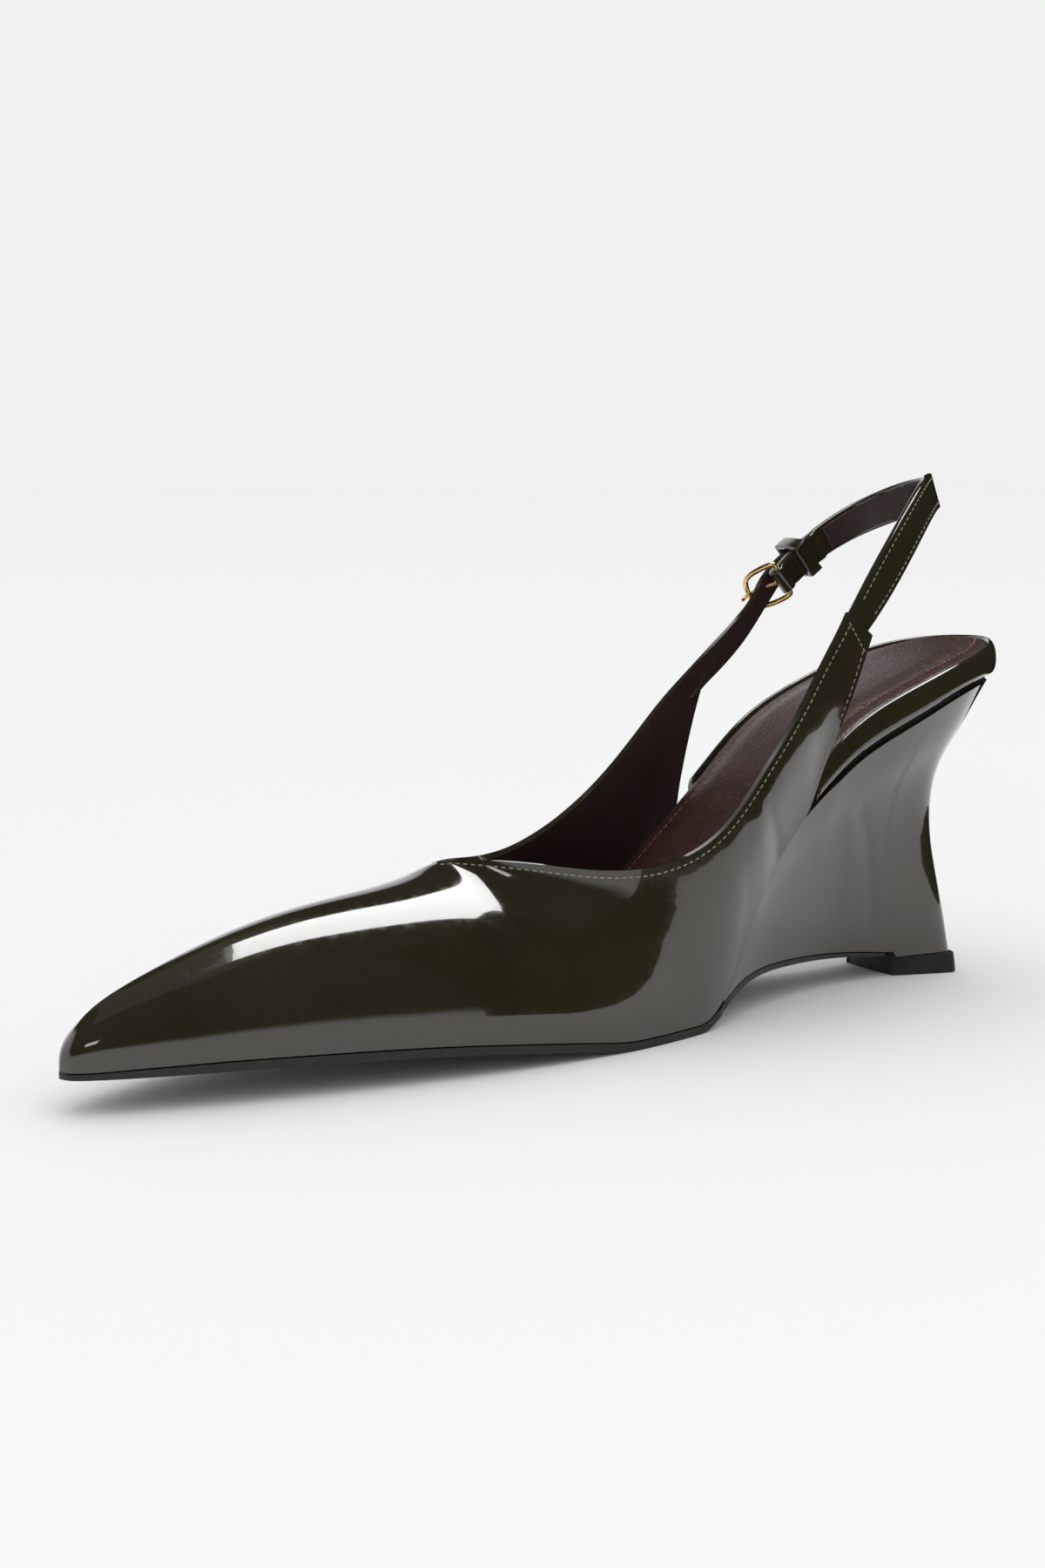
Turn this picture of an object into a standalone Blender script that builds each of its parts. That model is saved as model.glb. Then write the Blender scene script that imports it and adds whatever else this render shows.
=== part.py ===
"""Slingback wedge pump, right shoe, one size about EU 38.

Frame: +X towards the toe, +Y towards the medial (inner) side, +Z up, floor at z = 0.
Sizes are millimetres here and turned into metres when a mesh is made.
Distances along the shoe are measured from the back of the heel, sideways from the heel's own axis.
"""
import bpy
import math
import numpy as np

for old in list(bpy.data.objects):
    bpy.data.objects.remove(old)

MM = 0.001

# overall sizes
LENGTH = 266.0          # back of the heel to the tip of the toe
BALL_WIDTH = 67.2       # across the feather line at the ball
HEEL_RISE = 72.0        # feather line at the heel above the one at the ball
INSTEP = 44.6           # top of the throat above the floor
TOE_SPRING = 7.8        # underside of the tip above the floor
SOLE = 2.0              # outsole thickness
INSOLE = 2.6            # insole thickness at its edge
PAD = 1.5               # extra height of the padded seat
WALL = 1.6              # thickness of the lined upper
RAND = 2.5              # thickness of the covered band round the heel seat
GROOVE = 2.3            # height of the open groove between that band and the wedge
GROOVE_DEPTH = 2.7      # how far the top of the wedge stands in at the back of the heel
SEAT_TILT = 1.0         # the lateral edge of the seat lies this much lower
LIFT = 5.2              # heel lift height
LIFT_FRONT = 0.1390     # front of the lift as a share of the length
ARCH = 4.0              # rise of the underside between lift and ball
GAP = 0.3               # clearance between neighbouring pieces
QUARTER_TOP = 98.6      # top of the medial quarter above the floor
STRAP_TOP = 131.9       # top of the sling strap above the floor
STRAP = 1.6             # sling strap thickness
STRAP_WIDTH = 10.0      # sling strap width
WIRE = 0.75             # radius of the buckle wire
PRONG = 0.5             # radius of the buckle prong
KEEPER = 0.7            # thickness of the keeper loop
KEEPER_WIDTH = 4.0      # its length along the strap

# place of the heel axis and heel back in the final frame
ORIGIN_X = -133.88
ORIGIN_Y = 3.54


def table(names, *rows):
    """Rows of numbers with named columns."""
    keys = names.split()
    grid = np.array(rows, float)
    return {key: grid[:, i] for i, key in enumerate(keys)}


def spline(points, steps):
    """Uniform cubic B-spline through the end points, smoothing the rows between."""
    p = np.asarray(points, float)
    if p.ndim == 1:
        p = p[:, None]
    p = np.vstack([2 * p[0] - p[1], p, 2 * p[-1] - p[-2]])
    out = []
    for i in range(len(p) - 3):
        for j in range(steps):
            t = j / steps
            w = ((1 - t) ** 3, 3 * t ** 3 - 6 * t ** 2 + 4, -3 * t ** 3 + 3 * t ** 2 + 3 * t + 1, t ** 3)
            out.append(sum(w[k] * p[i + k] for k in range(4)) / 6)
    out.append((p[-3] + 4 * p[-2] + p[-1]) / 6)
    return np.array(out)


def follow(x, xs, ys):
    """Smooth value at x of a curve given by rows."""
    dense = spline(np.stack([xs, ys], 1), 12)
    return np.interp(x, dense[:, 0], dense[:, 1])


# underside of the outsole: shares of the lift, the arch and the toe spring
UNDERSIDE = table(
    "along lift arch spring",
    (0.0000, 1.00, 0.00, 0.00),
    (0.1200, 1.00, 0.00, 0.00),
    (0.1550, 1.00, 0.10, 0.00),
    (0.1900, 1.00, 0.40, 0.00),
    (0.2440, 1.00, 0.72, 0.00),
    (0.2970, 1.00, 0.93, 0.00),
    (0.3310, 1.00, 0.95, 0.00),
    (0.3530, 0.97, 0.86, 0.00),
    (0.3720, 0.86, 0.76, 0.00),
    (0.3870, 0.68, 0.60, 0.00),
    (0.4020, 0.42, 0.36, 0.00),
    (0.4140, 0.19, 0.16, 0.00),
    (0.4250, 0.03, 0.02, 0.00),
    (0.4360, 0.00, 0.00, 0.00),
    (0.4500, 0.00, 0.00, 0.00),
    (0.5000, 0.00, 0.00, 0.00),
    (0.5180, 0.00, 0.00, 0.00),
    (0.5450, 0.00, 0.00, 0.12),
    (0.5700, 0.00, 0.00, 0.25),
    (0.6000, 0.00, 0.00, 0.38),
    (0.6320, 0.00, 0.00, 0.50),
    (0.6770, 0.00, 0.00, 0.66),
    (0.7200, 0.00, 0.00, 0.77),
    (0.7900, 0.00, 0.00, 0.89),
    (0.8650, 0.00, 0.00, 0.96),
    (0.9400, 0.00, 0.00, 0.99),
    (1.0100, 0.00, 0.00, 1.00),
)


def under_z(x):
    """Height of the outsole's underside."""
    u = UNDERSIDE
    rows = u["lift"] * (LIFT + 0.4) + u["arch"] * ARCH + u["spring"] * TOE_SPRING
    z = follow(x, u["along"] * LENGTH, rows)
    return np.where(z < 0.02, 0.0, z)


# outsole thickness as a share of SOLE: thin behind and along the arch, skived at the toe
THICKNESS = table(
    "along share",
    (0.130, 0.35), (0.180, 0.50), (0.260, 0.65), (0.350, 0.75), (0.395, 0.90), (0.420, 1.00), (0.880, 1.00),
    (0.950, 0.85), (0.985, 0.65), (1.000, 0.60),
)


def sole_top(x):
    """Top of the outsole."""
    return under_z(x) + SOLE * np.interp(x, THICKNESS["along"] * LENGTH, THICKNESS["share"])


def foot_z(x):
    """Underside of the wedge: on the lift behind, on the outsole in front of it."""
    return np.where(x < LIFT_FRONT * LENGTH, LIFT + GAP, sole_top(x) + GAP)


def deck_z(x):
    """Base of the feather line and the insole: the outsole's top and a clearance at the forefoot."""
    return np.maximum(sole_top(x), under_z(x) + SOLE * (x < 0.42 * LENGTH)) + GAP


# feather line seen from above, and its rise above the deck
OUTLINE = table(
    "along medial lateral rise",
    (0.0034, -0.037, -0.037, 1.000),
    (0.0060, 0.054, -0.128, 1.000),
    (0.0135, 0.119, -0.193, 1.000),
    (0.0263, 0.183, -0.257, 1.000),
    (0.0444, 0.241, -0.315, 1.000),
    (0.0654, 0.281, -0.356, 0.995),
    (0.0850, 0.301, -0.375, 0.980),
    (0.1128, 0.311, -0.385, 0.947),
    (0.1504, 0.310, -0.385, 0.885),
    (0.1880, 0.307, -0.384, 0.815),
    (0.2256, 0.305, -0.382, 0.743),
    (0.2632, 0.305, -0.381, 0.638),
    (0.2932, 0.305, -0.384, 0.524),
    (0.3195, 0.315, -0.394, 0.430),
    (0.3383, 0.321, -0.402, 0.352),
    (0.3534, 0.327, -0.411, 0.272),
    (0.3759, 0.339, -0.429, 0.135),
    (0.3891, 0.348, -0.440, 0.062),
    (0.4023, 0.360, -0.455, 0.009),
    (0.4192, 0.376, -0.473, 0.000),
    (0.4398, 0.394, -0.494, 0.000),
    (0.4699, 0.417, -0.519, 0.000),
    (0.5049, 0.435, -0.540, 0.000),
    (0.5451, 0.445, -0.554, 0.000),
    (0.5902, 0.443, -0.551, 0.000),
    (0.6316, 0.432, -0.531, 0.000),
    (0.6767, 0.412, -0.496, 0.000),
    (0.7199, 0.388, -0.449, 0.000),
    (0.7639, 0.359, -0.394, 0.000),
    (0.8083, 0.323, -0.335, 0.000),
    (0.8496, 0.286, -0.274, 0.000),
    (0.8898, 0.246, -0.211, 0.000),
    (0.9248, 0.207, -0.152, 0.000),
    (0.9549, 0.170, -0.103, 0.000),
    (0.9778, 0.134, -0.056, 0.000),
    (0.9940, 0.103, -0.012, 0.000),
    (1.0010, 0.077, 0.016, 0.000),
    (1.0030, 0.048, 0.048, 0.000),
)

# the wedge under the first rows of the outline: how far its top stands in (share of GROOVE_DEPTH),
# its waist under the seat and its foot
WEDGE = table(
    "ledge waist_along waist_medial waist_lateral foot_along foot_medial foot_lateral",
    (1.00, 0.0850, -0.033, -0.033, 0.0662, -0.030, -0.030),
    (1.00, 0.0853, 0.021, -0.086, 0.0664, 0.036, -0.095),
    (0.96, 0.0865, 0.062, -0.128, 0.0673, 0.089, -0.149),
    (0.89, 0.0898, 0.095, -0.161, 0.0695, 0.131, -0.190),
    (0.81, 0.0959, 0.124, -0.189, 0.0748, 0.161, -0.220),
    (0.70, 0.1075, 0.146, -0.211, 0.0842, 0.168, -0.228),
    (0.59, 0.1226, 0.158, -0.223, 0.0977, 0.158, -0.217),
    (0.52, 0.1429, 0.167, -0.232, 0.1203, 0.140, -0.199),
    (0.44, 0.1711, 0.179, -0.244, 0.1523, 0.124, -0.183),
    (0.37, 0.2030, 0.193, -0.262, 0.1880, 0.119, -0.179),
    (0.33, 0.2350, 0.208, -0.280, 0.2256, 0.129, -0.193),
    (0.30, 0.2677, 0.226, -0.301, 0.2632, 0.159, -0.226),
    (0.19, 0.2955, 0.246, -0.321, 0.2932, 0.192, -0.268),
    (0.15, 0.3214, 0.268, -0.345, 0.3214, 0.226, -0.305),
    (0.15, 0.3398, 0.286, -0.363, 0.3402, 0.253, -0.335),
    (0.15, 0.3549, 0.304, -0.381, 0.3553, 0.278, -0.362),
    (0.15, 0.3771, 0.329, -0.414, 0.3771, 0.315, -0.405),
    (0.15, 0.3895, 0.342, -0.432, 0.3895, 0.336, -0.429),
    (0.15, 0.4023, 0.354, -0.449, 0.4023, 0.354, -0.449),
    (0.15, 0.4192, 0.370, -0.467, 0.4192, 0.370, -0.467),
)

STEPS = 2
DENSE = spline(np.stack([OUTLINE["along"] * LENGTH, OUTLINE["medial"] * BALL_WIDTH,
                         OUTLINE["lateral"] * BALL_WIDTH, OUTLINE["rise"]], 1), STEPS)
UNITS = np.array([GROOVE_DEPTH, LENGTH, BALL_WIDTH, BALL_WIDTH, LENGTH, BALL_WIDTH, BALL_WIDTH])
WAIST = spline(np.stack(list(WEDGE.values()), 1) * UNITS, STEPS)


def feather_z(x):
    """Height of the feather line, where the upper or the band meets what is below it."""
    return deck_z(x) + np.interp(x, DENSE[:, 0], DENSE[:, 3]) * HEEL_RISE


def inset(distance):
    """Plan outline moved inwards: medial points and lateral points, back to tip."""
    med = DENSE[:, [0, 1]]
    lat = DENSE[:, [0, 2]]
    loop = np.vstack([med, lat[::-1][1:-1]])
    step = np.roll(loop, -1, 0) - np.roll(loop, 1, 0)
    step /= np.linalg.norm(step, axis=1)[:, None]
    inward = np.stack([step[:, 1], -step[:, 0]], 1)
    n = len(med)
    d = np.broadcast_to(np.asarray(distance, float), (n,))
    both = np.concatenate([d, d[::-1][1:-1]])
    moved = loop + inward * both[:, None]
    medial = moved[:n]
    lateral = np.vstack([moved[0], moved[n:][::-1], moved[n - 1]])
    return medial, lateral, inward[:n], np.vstack([inward[0], inward[n:][::-1], inward[n - 1]])


# underside of the insole above the deck, as shares of the heel rise
SEAT = table(
    "along rise",
    (0.000, 1.076),
    (0.038, 1.063),
    (0.075, 1.032),
    (0.113, 0.996),
    (0.150, 0.944),
    (0.188, 0.876),
    (0.222, 0.808),
    (0.252, 0.728),
    (0.282, 0.617),
    (0.316, 0.482),
    (0.353, 0.345),
    (0.376, 0.276),
    (0.395, 0.232),
    (0.414, 0.196),
    (0.432, 0.160),
    (0.451, 0.118),
    (0.470, 0.077),
    (0.489, 0.042),
    (0.508, 0.016),
    (0.527, 0.000),
    (0.600, 0.000),
    (1.010, 0.000),
)


def seat_z(x):
    """Underside of the insole."""
    return deck_z(x) + np.maximum(follow(x, SEAT["along"] * LENGTH, SEAT["rise"]), 0.0) * HEEL_RISE


def make_collection(name):
    coll = bpy.data.collections.new(name)
    bpy.context.scene.collection.children.link(coll)
    return coll


PARTS = make_collection("wedge_pump")
CUTTERS = make_collection("cutters")
CUTTERS.hide_render = True


def material(name, colour, roughness, metallic=0.0):
    mat = bpy.data.materials.new(name)
    mat.use_nodes = True
    shader = mat.node_tree.nodes["Principled BSDF"]
    shader.inputs["Base Color"].default_value = (*colour, 1.0)
    shader.inputs["Roughness"].default_value = roughness
    shader.inputs["Metallic"].default_value = metallic
    mat.diffuse_color = (*colour, 1.0)
    return mat


def mesh_object(name, verts, faces, mat, cutter=False):
    """Mesh object from millimetre points; coincident points are joined and flat faces dropped."""
    keys = {}
    points = []
    remap = []
    for v in verts:
        key = (round(float(v[0]), 3), round(float(v[1]), 3), round(float(v[2]), 3))
        if key not in keys:
            keys[key] = len(points)
            points.append(((key[0] + ORIGIN_X) * MM, (key[1] + ORIGIN_Y) * MM, key[2] * MM))
        remap.append(keys[key])
    clean = []
    for face in faces:
        loop = []
        for i in face:
            j = remap[i]
            if not loop or loop[-1] != j:
                loop.append(j)
        if len(loop) > 1 and loop[0] == loop[-1]:
            loop.pop()
        if len(set(loop)) >= 3:
            clean.append(loop)
    mesh = bpy.data.meshes.new(name)
    mesh.from_pydata(points, [], clean)
    mesh.validate()
    mesh.update()
    obj = bpy.data.objects.new(name, mesh)
    if mat is not None:
        mesh.materials.append(mat)
    (CUTTERS if cutter else PARTS).objects.link(obj)
    if cutter:
        obj.display_type = 'WIRE'
        obj.hide_render = True
    else:
        for poly in mesh.polygons:
            poly.use_smooth = True
    return obj


def grid_faces(rows, cols, start=0, flip=False, wrap=False):
    """Quads of a grid of points; wrap joins the last column to the first."""
    faces = []
    for i in range(rows - 1):
        for j in range(cols if wrap else cols - 1):
            k = (j + 1) % cols
            a, b = start + i * cols + j, start + i * cols + k
            c, d = start + (i + 1) * cols + k, start + (i + 1) * cols + j
            faces.append((a, d, c, b) if flip else (a, b, c, d))
    return faces


def tube(name, rings, mat, flip=False, cutter=False):
    """Closed solid through a row of rings, capped at both ends."""
    rings = [np.asarray(r, float) for r in rings]
    cols = len(rings[0])
    verts = np.vstack(rings)
    faces = grid_faces(len(rings), cols, flip=flip, wrap=True)
    first = list(range(cols))
    last = list(range((len(rings) - 1) * cols, len(rings) * cols))
    faces.append(tuple(first if flip else first[::-1]))
    faces.append(tuple(last[::-1] if flip else last))
    return mesh_object(name, verts, faces, mat, cutter)


def combine(obj, cutter, operation):
    mod = obj.modifiers.new(operation.lower(), 'BOOLEAN')
    mod.operation = operation
    mod.object = cutter
    mod.solver = 'EXACT'
    return mod


PATENT = material("patent_leather", (0.052, 0.045, 0.022), 0.12)
BROWN = material("brown_lining", (0.062, 0.024, 0.018), 0.45)
BOTTOM = material("outsole_leather", (0.012, 0.008, 0.008), 0.40)
RUBBER = material("lift_rubber", (0.010, 0.010, 0.011), 0.60)
GOLD = material("gold_plate", (0.85, 0.56, 0.26), 0.22, 1.0)


def slab(name, medial, lateral, low, high, mat, dome=None, across=9, tilted=False):
    """Plate between two outlines with its own underside and top at every station."""
    rings = []
    share = np.linspace(0.0, 1.0, across)[:, None]
    crown = np.clip(np.minimum(share, 1 - share)[:, 0] * 4.0, 0, 1)
    crown = crown * crown * (3 - 2 * crown)
    for i, (m, l) in enumerate(zip(medial, lateral)):
        base = m * (1 - share) + l * share
        drop = tilt(base[:, 0], base[:, 1]) if tilted else 0.0
        lift = 0.0 if dome is None else dome[i] * min(1.0, abs(m[1] - l[1]) / 30.0) * crown
        top = np.column_stack([base, high[i] + lift - drop * np.ones(across)])
        bottom = np.column_stack([base, low[i] - drop * np.ones(across)])
        rings.append(np.vstack([top, bottom[::-1]]))
    return tube(name, rings, mat)


def tilt(x, y):
    """Drop of the seat towards its lateral edge; none under the forefoot."""
    return (SEAT_TILT * np.clip((0.045 * BALL_WIDTH - y) / (0.39 * BALL_WIDTH), 0, 1)
            * np.clip((0.47 * LENGTH - x) / (0.15 * LENGTH), 0, 1))


# outsole: from the front of the lift to the toe, flush with what stands on it
start = int(np.searchsorted(WAIST[:, 4], (LIFT_FRONT + 0.010) * LENGTH))
last = len(WAIST) - STEPS
sole_med = np.vstack([WAIST[start:last, [4, 5]], DENSE[last:, [0, 1]]])
sole_lat = np.vstack([WAIST[start:last, [4, 6]], DENSE[last:, [0, 2]]])
sole_x = sole_med[:, 0]
slab("outsole", sole_med, sole_lat, under_z(sole_x), sole_top(sole_x), BOTTOM, across=3)

# insole: padded over the heel and waist, thin under the ball and toes
edge = np.interp(DENSE[:, 0], [0.306 * LENGTH, 0.35 * LENGTH], [RAND + 0.1 + GAP, WALL + 2 * GAP])
ins_med, ins_lat, _, _ = inset(edge)
ins_x = 0.5 * (ins_med[:, 0] + ins_lat[:, 0])
ins_low = seat_z(ins_x)
pad = PAD * np.interp(ins_x, [0.0, 12.0, 0.42 * LENGTH, 0.55 * LENGTH], [0.5, 1.0, 1.0, 0.0])
slab("insole", ins_med, ins_lat, ins_low, ins_low + INSOLE, BROWN, dome=pad, across=6, tilted=True)

# wedge: covered body under the heel and waist, with a raised block inside the feather line
CURL = table(
    "down share",
    (0.00, 0.000), (0.06, 0.190), (0.13, 0.380), (0.20, 0.610), (0.26, 0.820), (0.32, 0.945), (0.38, 1.000),
    (0.46, 0.985), (0.54, 0.915), (0.63, 0.765), (0.73, 0.545), (0.84, 0.310), (0.93, 0.130), (1.00, 0.000),
)
WAIST_DOWN = 0.40       # how far down the waist lies, as a share of the wedge's height
top_med, top_lat, in_med, in_lat = inset(0.0)
ledge = np.concatenate([WAIST[:, 0], np.full(len(DENSE) - len(WAIST), WAIST[-1, 0])])
led_med, led_lat, _, _ = inset(ledge)
stop = int(np.searchsorted(DENSE[:, 0], 0.4015 * LENGTH))
rings = []
for i in range(stop):
    ribs = []
    for side, k in ((led_med, 0), (led_lat, 1)):
        x0, y0 = side[i]
        drop = GROOVE * float(np.interp(x0, [0.255 * LENGTH, 0.30 * LENGTH], [1.0, 0.0]))
        high = np.array([x0, y0, float(feather_z(x0)) - drop])
        foot = np.array([WAIST[i, 4], WAIST[i, 5 + k], float(foot_z(WAIST[i, 4]))])
        waist = np.array([WAIST[i, 1], WAIST[i, 2 + k]]) - (high + WAIST_DOWN * (foot - high))[:2]
        t = CURL["down"][:, None]
        line = high * (1 - t) + foot * t
        line[:, :2] += waist * CURL["share"][:, None]
        ribs.append(line)
    rings.append(np.vstack([ribs[0], ribs[1][::-1]]))
wedge = tube("wedge", rings, PATENT, flip=True)

block_end = int(np.searchsorted(DENSE[:, 0], 0.498 * LENGTH))
rings = []
for i in range(block_end):
    ring = []
    for x, y in (ins_med[i], ins_lat[i]):
        ring.append((x, y, float(seat_z(ins_x[i]) - tilt(x, y)) - GAP))
    for x, y in (ins_lat[i], ins_med[i]):
        ring.append((x, y, max(float(feather_z(x)) - GROOVE - 0.6, float(deck_z(x)) + 0.05)))
    rings.append(np.array(ring))
block = tube("wedge_block", rings, None, cutter=True)
combine(wedge, block, 'UNION')

# band round the heel seat, from the medial quarter round the back to the lateral quarter
PROFILE = table(
    "inwards up",
    (0.25, 0.00), (0.00, 0.16), (-0.02, 0.40), (0.03, 0.64), (0.22, 0.84),
    (0.50, 0.97), (0.72, 1.00), (0.92, 0.95), (1.00, 0.82), (1.00, 0.00),
)
RAND_MEDIAL = 0.2860    # share of the length where the band ends beside the medial quarter
RAND_LATERAL = 0.3010   # and beside the lateral quarter
RAND_PROUD = 0.7        # how far the band stands above the edge of the insole


def rand_ring(side, inward, i):
    x, y = side[i]
    low = float(feather_z(x)) + float(np.interp(x, [0.255 * LENGTH, 0.30 * LENGTH], [0.0, GAP]))
    high = float(seat_z(x) - tilt(x, y)) + INSOLE + RAND_PROUD
    ring = []
    for across, up in zip(PROFILE["inwards"], PROFILE["up"]):
        z = low + (high - low) * up
        ring.append((x + inward[i][0] * (across * RAND + 0.1), y + inward[i][1] * (across * RAND + 0.1), z))
    return np.array(ring)


end_m = int(np.searchsorted(DENSE[:, 0], RAND_MEDIAL * LENGTH))
end_l = int(np.searchsorted(DENSE[:, 0], RAND_LATERAL * LENGTH))
rings = [rand_ring(top_med, in_med, i) for i in range(end_m, 0, -1)]
rings += [rand_ring(top_lat, in_lat, i) for i in range(0, end_l + 1)]
# both ends are trimmed to a fixed station; the medial one leans back beside the quarter's rear edge
for k, station, lean in ((0, RAND_MEDIAL * LENGTH, 3.4), (-1, RAND_LATERAL * LENGTH, 0.0)):
    other = rings[1] if k == 0 else rings[-2]
    end = rings[k]
    share = (station - other[:, 0]) / np.where(np.abs(end[:, 0] - other[:, 0]) < 1e-6, 1.0, end[:, 0] - other[:, 0])
    end = other + (end - other) * share[:, None]
    end[:, 0] -= lean * (end[:, 2] - end[:, 2].min()) / (end[:, 2].max() - end[:, 2].min())
    rings[k] = end
tube("heel_rand", rings, PATENT, flip=True)

# heel lift: nearly straight back, sides drawing in towards a rounded front, flared to the floor
LIFT_PLAN = table(
    "along side",
    (0.0650, -0.030), (0.0650, 0.060), (0.0662, 0.130), (0.0695, 0.175), (0.0755, 0.192), (0.0850, 0.184),
    (0.1340, 0.112), (0.1365, 0.095), (0.1385, 0.040), (0.1390, -0.030), (0.1385, -0.100), (0.1365, -0.155),
    (0.1340, -0.172), (0.0850, -0.244), (0.0755, -0.252), (0.0695, -0.235), (0.0662, -0.190), (0.0650, -0.120),
)
centre = np.array([29.0, -2.0])
plan = np.column_stack([LIFT_PLAN["along"] * LENGTH, LIFT_PLAN["side"] * BALL_WIDTH])
rings = []
for z, grow in ((0.0, 1.0), (LIFT, 0.965)):
    p = centre + (plan - centre) * grow
    rings.append(np.column_stack([p, np.full(len(p), z)]))
tube("heel_lift", rings, RUBBER, flip=True)


# the upper: one row per section, from the feather line to the ridge, the topline or the strap edge
# low_up: rise above the feather line, top_z: height, both as shares of the quarter's top;
# turn: how far the surface dips at its top edge, in degrees; reach: lengths of the two curve handles
UPPER_COLUMNS = "low_x low_y low_up top_x top_y top_z lean turn reach_low reach_top"
MEDIAL = table(
    UPPER_COLUMNS,
    (1.0030, 0.048, 0.000, 0.9900, 0.044, 0.1800, 14, 40, 0.62, 0.60),
    (1.0000, 0.078, 0.000, 0.9865, 0.044, 0.1920, 14, 36, 0.62, 0.58),
    (0.9930, 0.104, 0.000, 0.9790, 0.043, 0.2120, 13, 30, 0.63, 0.56),
    (0.9800, 0.132, 0.000, 0.9650, 0.042, 0.2370, 11, 24, 0.62, 0.53),
    (0.9600, 0.164, 0.000, 0.9430, 0.040, 0.2640, 8, 15, 0.58, 0.48),
    (0.9250, 0.207, 0.000, 0.9080, 0.038, 0.3000, 5, 3, 0.56, 0.45),
    (0.8600, 0.277, 0.000, 0.8500, 0.038, 0.3520, 6, -4, 0.54, 0.45),
    (0.7900, 0.338, 0.000, 0.7860, 0.038, 0.3880, 6, -8, 0.53, 0.46),
    (0.7200, 0.388, 0.000, 0.7200, 0.036, 0.4040, 6, -10, 0.52, 0.46),
    (0.6720, 0.414, 0.000, 0.6770, 0.022, 0.4220, 6, -6, 0.52, 0.46),
    (0.6360, 0.430, 0.000, 0.6520, 0.006, 0.4470, 6, 4, 0.50, 0.44),
    (0.6020, 0.441, 0.000, 0.6390, 0.075, 0.4540, 7, 20, 0.46, 0.40),
    (0.5720, 0.444, 0.000, 0.6180, 0.172, 0.4560, 7, 38, 0.42, 0.36),
    (0.5420, 0.445, 0.000, 0.5870, 0.270, 0.4480, 8, 52, 0.40, 0.34),
    (0.5120, 0.437, 0.000, 0.5500, 0.338, 0.4300, 8, 63, 0.38, 0.32),
    (0.4800, 0.423, 0.000, 0.5120, 0.381, 0.4200, 8, 72, 0.36, 0.32),
    (0.4480, 0.401, 0.000, 0.4740, 0.408, 0.4280, 9, 79, 0.35, 0.32),
    (0.4200, 0.377, 0.000, 0.4400, 0.420, 0.4560, 10, 83, 0.34, 0.32),
    (0.3930, 0.353, 0.000, 0.4100, 0.421, 0.5040, 11, 85, 0.34, 0.32),
    (0.3680, 0.334, 0.000, 0.3830, 0.414, 0.5750, 12, 86, 0.33, 0.32),
    (0.3400, 0.322, 0.000, 0.3560, 0.404, 0.6580, 12, 87, 0.33, 0.32),
    (0.3140, 0.312, 0.000, 0.3350, 0.396, 0.7250, 12, 88, 0.33, 0.33),
    (0.2940, 0.309, 0.002, 0.3180, 0.388, 0.7860, 10, 89, 0.33, 0.33),
    (0.2830, 0.316, 0.070, 0.3020, 0.379, 0.8480, 8, 90, 0.33, 0.33),
    (0.2640, 0.325, 0.125, 0.2850, 0.371, 0.9100, 6, 90, 0.33, 0.33),
    (0.2465, 0.337, 0.200, 0.2715, 0.364, 0.9560, 4, 90, 0.33, 0.33),
    (0.2315, 0.352, 0.304, 0.2610, 0.357, 1.0000, 3, 90, 0.33, 0.33),
)
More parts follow.
